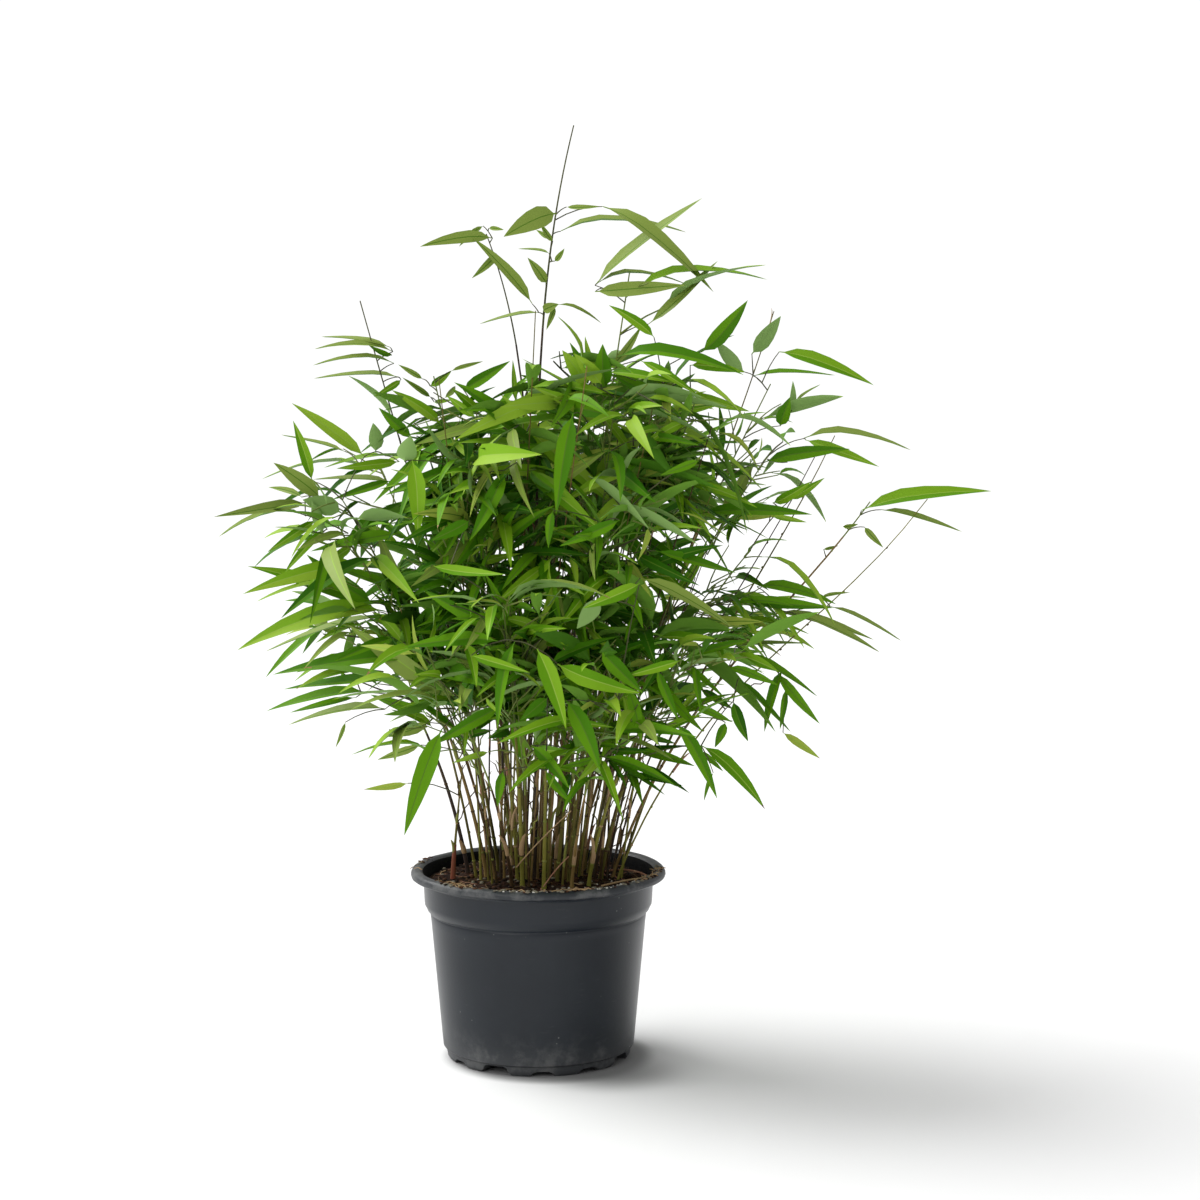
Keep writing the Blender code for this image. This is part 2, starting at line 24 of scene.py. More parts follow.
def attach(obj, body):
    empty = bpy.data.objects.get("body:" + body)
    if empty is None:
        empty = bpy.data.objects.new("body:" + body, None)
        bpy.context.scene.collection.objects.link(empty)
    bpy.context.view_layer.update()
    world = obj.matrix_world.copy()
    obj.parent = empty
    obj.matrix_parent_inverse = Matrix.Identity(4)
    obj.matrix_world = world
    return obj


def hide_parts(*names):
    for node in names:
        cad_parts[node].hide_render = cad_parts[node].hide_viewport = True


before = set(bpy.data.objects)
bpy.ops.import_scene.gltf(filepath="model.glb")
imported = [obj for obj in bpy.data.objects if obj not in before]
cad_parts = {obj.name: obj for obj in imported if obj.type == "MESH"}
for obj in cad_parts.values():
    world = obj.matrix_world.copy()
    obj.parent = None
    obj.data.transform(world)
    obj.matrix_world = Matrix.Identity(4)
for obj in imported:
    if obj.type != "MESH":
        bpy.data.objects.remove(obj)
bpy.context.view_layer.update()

LOG = logging.getLogger("bamboo")
GOLDEN_ANGLE = math.pi * (3 - math.sqrt(5))
UP = Vector((0.0, 0.0, 1.0))
Lines = tuple[list[Vector], list[tuple[int, ...]]]


# Shader maths -------------------------------------------------------------------------------


class Sock:
    """A socket that takes part in sums, so that shader maths reads as an expression."""

    def __init__(self, surface: Surface, socket: bpy.types.NodeSocket) -> None:
        """Wraps an output socket of a surface's node tree."""
        self.surface = surface
        self.socket = socket

    def _math(self, operation: str, *values: Any) -> Sock:
        """Adds one Math node with its inputs in order."""
        settings = {"operation": operation}
        return self.surface.node("ShaderNodeMath", settings, dict(enumerate(values)))

    def __add__(self, other: Sock | float) -> Sock:
        """The sum of two values."""
        return self._math("ADD", self, other)

    __radd__ = __add__

    def __sub__(self, other: Sock | float) -> Sock:
        """This value less another."""
        return self._math("SUBTRACT", self, other)

    def __rsub__(self, other: float) -> Sock:
        """A number less this value."""
        return self._math("SUBTRACT", other, self)

    def __mul__(self, other: Sock | float) -> Sock:
        """The product of two values."""
        return self._math("MULTIPLY", self, other)

    __rmul__ = __mul__

    def __pow__(self, other: float) -> Sock:
        """This value to a power."""
        return self._math("POWER", self, other)

    def at_most(self, other: Sock | float) -> Sock:
        """The lesser of two values."""
        return self._math("MINIMUM", self, other)

    def between(self, low: float, high: float) -> Sock:
        """A soft step of this value: 0 at low, 1 at high.

        Args:
            low: the value that gives 0.
            high: the value that gives 1, which may be the lesser.

        Returns:
            The stepped value, from 0 to 1.
        """
        settings = {"interpolation_type": "SMOOTHSTEP", "clamp": True}
        if low > high:
            inputs = {0: self, 1: high, 2: low, 3: 1.0, 4: 0.0}
        else:
            inputs = {0: self, 1: low, 2: high, 3: 0.0, 4: 1.0}
        return self.surface.node("ShaderNodeMapRange", settings, inputs)


class Surface:
    """One material, and the way its nodes are made."""

    def __init__(self, name: str) -> None:
        """Starts a material that has only its output.

        Args:
            name: the material's name.
        """
        self.material = bpy.data.materials.new(name)
        self.material.use_nodes = True
        self.tree = self.material.node_tree
        self.tree.nodes.clear()
        self.output = self.tree.nodes.new("ShaderNodeOutputMaterial")

    def node(
        self,
        kind: str,
        settings: dict[str, Any] | None = None,
        inputs: dict[int | str, Any] | None = None,
        out: int | str = 0,
    ) -> Sock:
        """Makes a node: its settings first, then the values or links of its sockets.

        Args:
            kind: the node's type.
            settings: the node's own properties.
            inputs: a value or a Sock for each socket, by its name or number.
            out: which output the result is.

        Returns:
            That output.
        """
        made = self.tree.nodes.new(kind)
        for key, value in (settings or {}).items():
            setattr(made, key, value)
        for key, value in (inputs or {}).items():
            if isinstance(value, Sock):
                self.tree.links.new(value.socket, made.inputs[key])
            else:
                made.inputs[key].default_value = value
        return Sock(self, made.outputs[out])

    def point(self, stretch: tuple[float, float, float] = (1.0, 1.0, 1.0)) -> Sock:
        """The place on the piece, in metres, with each direction scaled.

        Args:
            stretch: the scale of each direction.

        Returns:
            The scaled place.
        """
        place = self.node("ShaderNodeTexCoord", out="Object")
        if stretch == (1.0, 1.0, 1.0):
            return place
        return self.node("ShaderNodeMapping", None, {"Vector": place, "Scale": stretch})

    def height(self) -> Sock:
        """The height of the place on the piece."""
        return self.node("ShaderNodeSeparateXYZ", None, {0: self.point()}, out="Z")

    def grain(self, place: Sock, scale: float, detail: float = 3.0, rough: float = 0.55) -> Sock:
        """A cloudy value round 0.5, with so many clouds a metre and finer layers in them."""
        inputs = {"Vector": place, "Scale": scale, "Detail": detail, "Roughness": rough}
        return self.node("ShaderNodeTexNoise", None, inputs)

    def cells(self, place: Sock, scale: float) -> Sock:
        """The distance to the middle of the nearest of many cells, of which a scale fit a metre."""
        return self.node("ShaderNodeTexVoronoi", None, {"Vector": place, "Scale": scale})

    def blend(self, share: Sock | float, first: Any, second: Any) -> Sock:
        """A colour between two colours.

        Args:
            share: 0 for the first and 1 for the second.
            first: a colour or a Sock.
            second: a colour or a Sock.

        Returns:
            The mixed colour.
        """
        first, second = (c if isinstance(c, Sock) else (*c, 1.0) for c in (first, second))
        settings = {"data_type": "RGBA", "clamp_factor": True}
        return self.node("ShaderNodeMix", settings, {0: share, 6: first, 7: second}, out=2)

    def relief(self, height: Sock, strength: float, depth: float) -> Sock:
        """The surface's direction with a relief of a height from 0 to 1, a strength and a depth."""
        inputs = {"Strength": strength, "Distance": depth, "Height": height}
        return self.node("ShaderNodeBump", None, inputs)

    def finish(self, colour: Any, roughness: Any, normal: Sock | None, **fixed: float) -> None:
        """Ends the material in one shader.

        Args:
            colour: a colour or a Sock.
            roughness: a number or a Sock.
            normal: the relief's direction, if there is one.
            fixed: numbers for the shader's other sockets, with _ for a space.
        """
        colour = colour if isinstance(colour, Sock) else (*colour, 1.0)
        inputs = {"Base Color": colour, "Roughness": roughness}
        if normal:
            inputs["Normal"] = normal
        for key, value in fixed.items():
            inputs[key.replace("_", " ")] = value
        shader = self.node("ShaderNodeBsdfPrincipled", None, inputs)
        self.tree.links.new(shader.socket, self.output.inputs["Surface"])


# Finishes -----------------------------------------------------------------------------------

Colour = tuple[float, float, float]


@dataclass(frozen=True)
class PotPlastic:
    """Slate-black moulded plastic, scuffed, dusty round the foot, and paler on and under the lip,
    where dust and a painted highlight lie together.
    """

    name: str = "pot_plastic"
    deep: Colour = (0.0030, 0.0056, 0.0102)
    worn: Colour = (0.0088, 0.0130, 0.0190)
    dust_and_sheen_grey: Colour = (0.110, 0.112, 0.112)
    lime: Colour = (0.42, 0.42, 0.40)
    foot_top: float = 0.045
    lip_foot: float = 0.157

    def make(self) -> bpy.types.Material:
        """Builds the material.

        Returns:
            The material.
        """
        s = Surface(self.name)
        place = s.point()
        height = s.height()
        clouds = s.grain(place, 14.0, 5.0, 0.6)
        streaks = s.grain(s.point((60.0, 60.0, 5.0)), 1.0, 4.0, 0.6)
        scuffs = s.grain(s.point((18.0, 18.0, 90.0)), 3.0, 5.0, 0.7).between(0.60, 0.72)
        colour = s.blend(clouds.between(0.30, 0.75) * 0.6 + streaks * 0.3, self.deep, self.worn)
        near_foot = height.between(self.foot_top, 0.002)
        patches = s.grain(place, 46.0, 6.0, 0.66)
        dust_and_sheen = near_foot * patches.between(0.44, 0.68) + near_foot * near_foot * 0.55
        on_lip = height.between(self.lip_foot, self.lip_foot + 0.007)
        # On and under the lip the plastic is made paler all round: partly real dust in patches,
        # partly a painted highlight along the rim.
        dust_and_sheen = dust_and_sheen + on_lip * (0.26 + 1.10 * patches.between(0.42, 0.60))
        dust_and_sheen = dust_and_sheen + 0.13 * scuffs * clouds.between(0.45, 0.6)
        colour = s.blend((dust_and_sheen * 0.58).at_most(0.75), colour, self.dust_and_sheen_grey)
        specks = s.cells(place, 150.0).between(0.14, 0.08)
        rare = s.grain(place, 30.0, 2.0).between(0.60, 0.66)
        where = (near_foot * 0.8 + on_lip * 0.9 + 0.16).at_most(1.0)
        colour = s.blend(specks * rare * where, colour, self.lime)
        roughness = 0.25 + 0.16 * clouds + 0.25 * dust_and_sheen.at_most(1.0)
        relief = clouds * 0.35 + streaks * 0.25 + 0.4 * s.grain(place, 420.0, 3.0)
        s.finish(colour, roughness, s.relief(relief, 0.22, 0.0006), Specular_IOR_Level=0.36)
        return s.material


@dataclass(frozen=True)
class Peat:
    """Moist dark peat with paler fibres and crumbs in it."""

    name: str = "peat_top"
    wet: Colour = (0.0065, 0.0031, 0.0017)
    dry: Colour = (0.046, 0.0175, 0.0080)
    fibre: Colour = (0.170, 0.085, 0.042)

    def make(self) -> bpy.types.Material:
        """Builds the material.

        Returns:
            The material.
        """
        s = Surface(self.name)
        place = s.point()
        lumps = s.grain(place, 95.0, 8.0, 0.72)
        fine = s.grain(place, 620.0, 4.0, 0.7)
        hairs = s.grain(s.point((300.0, 1100.0, 500.0)), 1.0, 3.0).between(0.63, 0.70)
        colour = s.blend(lumps.between(0.36, 0.68), self.wet, self.dry)
        colour = s.blend(hairs * fine.between(0.40, 0.60) * 0.55, colour, self.fibre)
        relief = lumps * 0.65 + fine * 0.35
        normal = s.relief(relief, 0.9, 0.0022)
        s.finish(colour, 0.78 + 0.2 * fine, normal, Specular_IOR_Level=0.1)
        return s.material


@dataclass(frozen=True)
class Skin:
    """A cane's or a twig's skin: fine streaks along it, between two tones."""

    name: str
    first: Colour
    second: Colour
    roughness: float = 0.42
    streak: float = 900.0

    def make(self) -> bpy.types.Material:
        """Builds the material.

        Returns:
            The material.
        """
        s = Surface(self.name)
        along = s.point((1.0, 1.0, 0.05))
        streaks = s.grain(along, self.streak, 3.0, 0.6)
        clouds = s.grain(s.point(), 26.0, 3.0, 0.6)
        share = (clouds.between(0.34, 0.66) * 0.75 + streaks.between(0.35, 0.7) * 0.35).at_most(1.0)
        colour = s.blend(share, self.first, self.second)
        normal = s.relief(streaks, 0.35, 0.0004)
        s.finish(colour, self.roughness + 0.18 * clouds, normal, Specular_IOR_Level=0.15)
        return s.material


@dataclass(frozen=True)
class LeafSkin:
    """One plain green of the leaves, satin, with a faint relief."""

    name: str
    colour: Colour
    roughness: float = 0.46
    gloss: float = 0.08

    def make(self) -> bpy.types.Material:
        """Builds the material.

        Returns:
            The material.
        """
        s = Surface(self.name)
        ripples = s.grain(s.point(), 260.0, 2.0)
        relief = s.relief(ripples, 0.10, 0.0008)
        roughness = self.roughness + 0.16 * ripples
        s.finish(self.colour, roughness, relief, Specular_IOR_Level=self.gloss)
        return s.material


@dataclass(frozen=True)
class Crumb:
    """A dull mineral or woody surface, a little uneven in tone."""

    name: str
    first: Colour
    second: Colour
    gloss: float = 0.12

    def make(self) -> bpy.types.Material:
        """Builds the material.

        Returns:
            The material.
        """
        s = Surface(self.name)
        clouds = s.grain(s.point(), 700.0, 4.0, 0.65)
        colour = s.blend(clouds.between(0.35, 0.65), self.first, self.second)
        roughness = 0.75 + 0.2 * clouds
        s.finish(colour, roughness, s.relief(clouds, 0.6, 0.0006), Specular_IOR_Level=self.gloss)
        return s.material


@dataclass(frozen=True)
class StudioPaint:
    """The plain pale paint of the floor, with a painted shadow round the pot's foot, darkest to the
    front right, where the cast shadow lies.
    """

    name: str = "floor_paint"
    colour: Colour = (0.86, 0.86, 0.86)
    # The grey of the painted shadow.
    shade: Colour = (0.18, 0.18, 0.182)
    # Each patch of painted shadow: its middle, the radii where it is full and gone, and its depth.
    patches: tuple = (
        ((0.009, -0.009), 0.080, 0.099, 0.75),
        ((0.070, -0.042), 0.020, 0.105, 0.40),
        ((0.062, -0.062), 0.010, 0.075, 0.72),
    )

    def make(self) -> bpy.types.Material:
        """Builds the material.

        Returns:
            The material.
        """
        s = Surface(self.name)
        place = s.point()
        colour: Any = self.colour
        for middle, full, gone, depth in self.patches:
            x, y = (
                s.node("ShaderNodeSeparateXYZ", None, {0: place}, out=axis) - middle[axis]
                for axis in (0, 1)
            )
            share = depth * ((x * x + y * y) ** 0.5).between(gone, full)
            colour = s.blend(share, colour, self.shade)
        s.finish(colour, 0.9, None, Specular_IOR_Level=0.1)
        return s.material


class CaneTone(Enum):
    """The colours that canes come in, from young to old."""

    OLIVE = Skin("cane_olive", (0.077, 0.069, 0.014), (0.150, 0.129, 0.026))
    LIME = Skin("cane_lime", (0.129, 0.133, 0.017), (0.224, 0.202, 0.039))
    STRAW = Skin("cane_straw", (0.155, 0.095, 0.029), (0.232, 0.155, 0.053))
    BROWN = Skin("cane_brown", (0.026, 0.014, 0.007), (0.082, 0.048, 0.017))
    PURPLE = Skin("cane_purple", (0.033, 0.021, 0.019), (0.073, 0.052, 0.030))
    RED = Skin("cane_red", (0.258, 0.039, 0.034), (0.206, 0.086, 0.043))


class SheathTone(Enum):
    """The colours of the papery sheaths and of the joints of the canes."""

    PAPER = Skin("sheath_paper", (0.300, 0.190, 0.095), (0.420, 0.290, 0.160), 0.62)
    PINK = Skin("sheath_pink", (0.270, 0.110, 0.070), (0.380, 0.210, 0.130), 0.60)
    GREEN = Skin("sheath_green", (0.150, 0.175, 0.032), (0.240, 0.240, 0.062), 0.55)
    DARK = Skin("sheath_dark", (0.060, 0.035, 0.017), (0.115, 0.075, 0.034), 0.60)


class TwigTone(Enum):
    """The colours of the side twigs."""

    GREEN = Skin("twig_green", (0.110, 0.165, 0.030), (0.180, 0.220, 0.050))
    DARK = Skin("twig_dark", (0.045, 0.050, 0.022), (0.090, 0.095, 0.035))


class LeafTone(Enum):
    """The greens of the leaves' upper sides, from deep for painted shade inside the crown to bright
    for painted light at its edge, and their other tones.
    """

    DEEP = LeafSkin("leaf_deep", (0.025, 0.112, 0.0015))
    SHADE = LeafSkin("leaf_shade", (0.054, 0.178, 0.002))
    MID = LeafSkin("leaf_mid", (0.100, 0.258, 0.004))
    FRESH = LeafSkin("leaf_fresh", (0.168, 0.340, 0.008), gloss=0.14)
    BRIGHT = LeafSkin("leaf_bright", (0.242, 0.402, 0.024), gloss=0.14)
    OLIVE = LeafSkin("leaf_olive", (0.208, 0.292, 0.048), gloss=0.18)
    YELLOW = LeafSkin("leaf_yellow", (0.310, 0.400, 0.055))
    BACK_DEEP = LeafSkin("leaf_back_deep", (0.060, 0.175, 0.010), 0.55)
    BACK = LeafSkin("leaf_back", (0.128, 0.275, 0.030), 0.55)
    # The palest back is partly the leaves' own paler underside and partly a painted sheen.
    BACK_PALE = LeafSkin("leaf_back_pale", (0.205, 0.345, 0.095), 0.55, 0.2)
    RIB_DEEP = LeafSkin("leaf_rib_deep", (0.085, 0.180, 0.015))
    RIB = LeafSkin("leaf_rib", (0.250, 0.400, 0.050))
    DRY = LeafSkin("leaf_dry", (0.300, 0.180, 0.070), 0.6, 0.3)
    RUST = LeafSkin("leaf_rust", (0.085, 0.030, 0.018), 0.6, 0.3)


# Mesh making --------------------------------------------------------------------------------


def linked(name: str, data: bpy.types.ID) -> bpy.types.Object:
    """A new object in the scene, round a mesh, curve, light or camera."""
    made = bpy.data.objects.new(name, data)
    bpy.context.scene.collection.objects.link(made)
    return made


def placed(name: str, mesh: bpy.types.Mesh, nodes: Iterable[str]) -> bpy.types.Object:
    """Shows a finished mesh as a piece of the plant.

    Args:
        name: the piece's name.
        mesh: its mesh, already in place.
        nodes: the solids that it stands for.

    Returns:
        The piece.
    """
    piece = linked(name, mesh)
    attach(piece, "root")
    names = list(nodes)
    if names:
        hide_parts(*names)
    LOG.info("%s: %d faces", name, len(mesh.polygons))
    return piece


def smoothed(bm: bmesh.types.BMesh, name: str, sharp_angle: float) -> bpy.types.Mesh:
    """Turns a bmesh into a smooth mesh whose faces point outwards, and frees it.

    Args:
        bm: the finished bmesh.
        name: the mesh's name.
        sharp_angle: edges sharper than this, in degrees, stay crisp.

    Returns:
        The mesh.
    """
    bmesh.ops.recalc_face_normals(bm, faces=bm.faces)
    mesh = bpy.data.meshes.new(name)
    bm.to_mesh(mesh)
    bm.free()
    mesh.shade_smooth()
    mesh.set_sharp_from_angle(angle=math.radians(sharp_angle))
    return mesh


def turned(
    name: str,
    profile: Sequence[tuple[float, float]],
    steps: int,
    shape: Callable[[Vector], None],
    sharp_angle: float,
) -> bpy.types.Mesh:
    """A mesh turned about +Z from a profile that starts and ends on the axis.

    Args:
        name: the mesh's name.
        profile: points of radius and height.
        steps: how many steps the turn has.
        shape: moves each point of the turned shape.
        sharp_angle: edges sharper than this, in degrees, stay crisp.

    Returns:
        The closed mesh.
    """
    bm = bmesh.new()
    outline = [bm.verts.new((radius, 0.0, height)) for radius, height in profile]
    edges = [bm.edges.new(pair) for pair in zip(outline, outline[1:])]
    bmesh.ops.spin(
        bm,
        geom=outline + edges,
        cent=(0, 0, 0),
        axis=(0, 0, 1),
        angle=math.tau,
        steps=steps,
        use_merge=True,
    )
    bmesh.ops.remove_doubles(bm, verts=bm.verts, dist=1e-6)
    for vertex in bm.verts:
        shape(vertex.co)
    return smoothed(bm, name, sharp_angle)


@dataclass
class Strands:
    """Many thin closed strands in one piece, each with its own line, thickness and tone."""

    name: str
    tones: Sequence[Enum]
    fineness: int = 1
    lines: list[tuple[list[Vector], list[float], int]] = field(default_factory=list)

    def add(self, line: Sequence[Vector], radii: Sequence[float], tone: Enum) -> None:
        """Adds one strand through points, with the radius at each."""
        self.lines.append((list(line), list(radii), self.tones.index(tone)))

    def mesh(self) -> bpy.types.Mesh:
        """Sweeps every strand.

        Returns:
            The joined mesh of closed tubes.
        """
        curve = bpy.data.curves.new(self.name, "CURVE")
        curve.dimensions = "3D"
        curve.bevel_depth = 1.0
        curve.bevel_resolution = self.fineness
        curve.use_fill_caps = True
        for tone in self.tones:
            curve.materials.append(tone.value.make())
        for line, radii, tone in self.lines:
            spline = curve.splines.new("POLY")
            spline.points.add(len(line) - 1)
            spline.points.foreach_set("co", [x for point in line for x in (*point, 1.0)])
            spline.points.foreach_set("radius", radii)
            spline.material_index = tone
            spline.use_smooth = True
        guide = linked(self.name, curve)
        bpy.context.view_layer.update()
        graph = bpy.context.evaluated_depsgraph_get()
        swept = bpy.data.meshes.new_from_object(guide.evaluated_get(graph))
        bpy.data.objects.remove(guide)
        bm = bmesh.new()
        bm.from_mesh(swept)
        bmesh.ops.remove_doubles(bm, verts=bm.verts, dist=1e-7)
        bmesh.ops.recalc_face_normals(bm, faces=bm.faces)
        bm.to_mesh(swept)
        bm.free()
        swept.shade_smooth()
        swept.set_sharp_from_angle(angle=math.radians(55))
        return swept


@dataclass
class Lumps:
    """Many small irregular lumps in one piece."""

    name: str
    finishes: Sequence[Crumb]
    rows: list[tuple[Vector, Vector, float, int]] = field(default_factory=list)

    def add(self, centre: Vector, half: Vector, turn: float, tone: int) -> None:
        """Adds one lump by its middle, half sizes, turn and tone."""
        self.rows.append((centre, half, turn, tone))

    def mesh(self) -> bpy.types.Mesh:
        """Joins copies of one rough pebble.

        Returns:
            The joined mesh.
        """
        pebble = bmesh.new()
        bmesh.ops.create_icosphere(pebble, subdivisions=1, radius=1.0)
        for vertex in pebble.verts:
            vertex.co *= 1.0 + 0.30 * noise.noise(vertex.co * 1.7)
        points = np.array([v.co for v in pebble.verts])
        faces = np.array([[v.index for v in f.verts] for f in pebble.faces])
        pebble.free()
        blocks, index, tones = [], [], []
        for number, (centre, half, turn, tone) in enumerate(self.rows):
            spin = np.array(Matrix.Rotation(turn, 3, (0.4, 0.3, 0.87)))
            blocks.append((points @ spin.T) * np.array(half) + np.array(centre))
            index.append(faces + number * len(points))
            tones.append(np.full(len(faces), tone))
        mesh = bpy.data.meshes.new(self.name)
        mesh.from_pydata(np.vstack(blocks).tolist(), [], np.vstack(index).tolist())
        mesh.polygons.foreach_set("material_index", np.concatenate(tones).astype(np.int32))
        for finish in self.finishes:
            mesh.materials.append(finish.make())
        mesh.shade_smooth()
        return mesh


# The rule by which the clump grows ----------------------------------------------------------


def even_steps(first: float, last: float, count: int) -> list[float]:
    """Evenly spaced numbers from the first to the last."""
    return [first + (last - first) * k / (count - 1) for k in range(count)]


def risen(value: float, low: float, high: float) -> float:
    """How far a value has come from low to high, held between 0 and 1."""
    return min(max((value - low) / (high - low), 0.0), 1.0)


def bowed(start: Vector, middle: Vector, end: Vector, t: float) -> Any:
    """A point of the curve from a start to an end that a middle point pulls to itself."""
    return (1 - t) ** 2 * start + 2 * t * (1 - t) * middle + t * t * end


def level_hint(rng: random.Random) -> Vector:
    """A seeded level direction, of no set length."""
    return Vector((rng.uniform(-1, 1), rng.uniform(-1, 1), 0.0))


def tangents(points: Sequence[Vector]) -> list[Vector]:
    """The unit direction of a line of points at each of them."""
    last = len(points) - 1
    return [
        (points[min(i + 1, last)] - points[max(i - 1, 0)]).normalized() for i in range(last + 1)
    ]


def across(direction: Vector, hint: Vector) -> Vector:
    """The unit vector nearest to a hint that is square to a direction.

    Args:
        direction: what the result is square to.
        hint: what it is near to.

    Returns:
        The unit vector.
    """
    flat = hint - hint.dot(direction) * direction
    if flat.length < 1e-4:
        flat = direction.orthogonal()
    return flat.normalized()


def tube(points: Sequence[Vector], radii: Sequence[float], sides: int) -> Lines:
    """A closed tapering tube through points, as the rule tests it.

    Args:
        points: its middle line.
        radii: its radius at each point.
        sides: how many sides it has.

    Returns:
        Its vertices and faces.
    """
    vertices: list[Vector] = []
    faces: list[tuple[int, ...]] = []
    directions = tangents(points)
    side = across(directions[0], Vector((1, 0, 0)))
    for centre, direction, radius in zip(points, directions, radii):
        side = across(direction, side)
        axes = (side, direction.cross(side))
        for k in range(sides):
            turn = math.tau * k / sides
            offset = radius * (math.cos(turn) * axes[0] + math.sin(turn) * axes[1])
            vertices.append(centre + offset)
    rings = len(points)
    for ring in range(rings - 1):
        for k in range(sides):
            low, beside = ring * sides + k, ring * sides + (k + 1) % sides
            faces.append((low, beside, beside + sides, low + sides))
    faces.append(tuple(reversed(range(sides))))
    faces.append(tuple(range((rings - 1) * sides, rings * sides)))
    return vertices, faces


def distances(points: np.ndarray, segments: np.ndarray) -> np.ndarray:
    """The distance from each point to the nearest of some segments.

    Args:
        points: the points, one to a row.
        segments: pairs of ends.

    Returns:
        One distance for each point.
    """
    starts, ends = segments[:, 0], segments[:, 1]
    spans = ends - starts
    away = points[:, None, :] - starts[None]
    along = (away * spans).sum(-1) / (spans * spans).sum(-1)
    nearest = starts + np.clip(along, 0, 1)[..., None] * spans
    return np.linalg.norm(points[:, None, :] - nearest, axis=-1).min(axis=1)


def segments_of(lines: Iterable[Sequence[Vector]]) -> np.ndarray:
    """Every segment of some lines of points, as one array."""
    return np.array([pair for line in lines for pair in zip(line, line[1:])])


@dataclass(frozen=True)
class Cane:
    """One cane: its foot on the soil, its tip, where its foliage starts and how much it has."""

    name: str
    foot: Vector
    tip: Vector
    arch: float
    leafy_from: float
    leafy_to: float
    nodes: int
    most_leaves: int
    leaf_top: float
    radius: float
    seed: int
    in_head: bool

    def point(self, share: float) -> Vector:
        """A point of the cane's line, a cubic curve that starts steep and arches over outward.

        Args:
            share: 0 at the foot and 1 at the tip.

        Returns:
            The point.
        """
        span = self.tip - self.foot
        level = Vector((span.x, span.y, 0.0))
        start = self.foot + Vector((0, 0, 0.42 * span.length)) + 0.30 * (1 - self.arch) * level
        drop = Vector((0, 0, 0.34 * span.length * (1 - 1.5 * self.arch)))
        end = self.tip - drop - 0.34 * level
        rest = 1 - share
        return (
            rest**3 * self.foot
            + 3 * rest**2 * share * start
            + 3 * rest * share**2 * end
            + share**3 * self.tip
        )

    def line(self, low: float, high: float, rings: int) -> list[Vector]:
        """Evenly spaced points of the cane's line between two shares of it."""
        return [self.point(share) for share in even_steps(low, high, rings)]


@dataclass(frozen=True)
class Leaf:
    """One leaf blade by the rule: where it grows, which way, its upper side, and its sizes."""

    root: Vector
    along: Vector
    up: Vector
    length: float
    width: float
    arch: float

    def solid(self, widest: float = 0.36, keel: float = 0.020) -> Lines:
        """The plain blade that the rule tests: a root, a section at its widest and a tip.

        Args:
            widest: where its widest section is, as a share of its length.
            keel: how far the keel hangs there, as a share of its length.

        Returns:
            Its vertices and faces.
        """
        along, up = self.along.normalized(), across(self.along, self.up)
        side = along.cross(up)
        middle = self.root + self.length * (widest * along + self.arch * up)
        vertices = [
            self.root.copy(),
            middle + 0.5 * self.width * side,
            middle - 0.5 * self.width * side,
            middle - keel * self.length * up,
            self.root + self.length * along,
        ]
        faces: list[tuple[int, ...]] = []
        for k in range(3):
            a, b = 1 + k, 1 + (k + 1) % 3
            faces += [(0, a, b), (4, b, a)]
        return vertices, faces


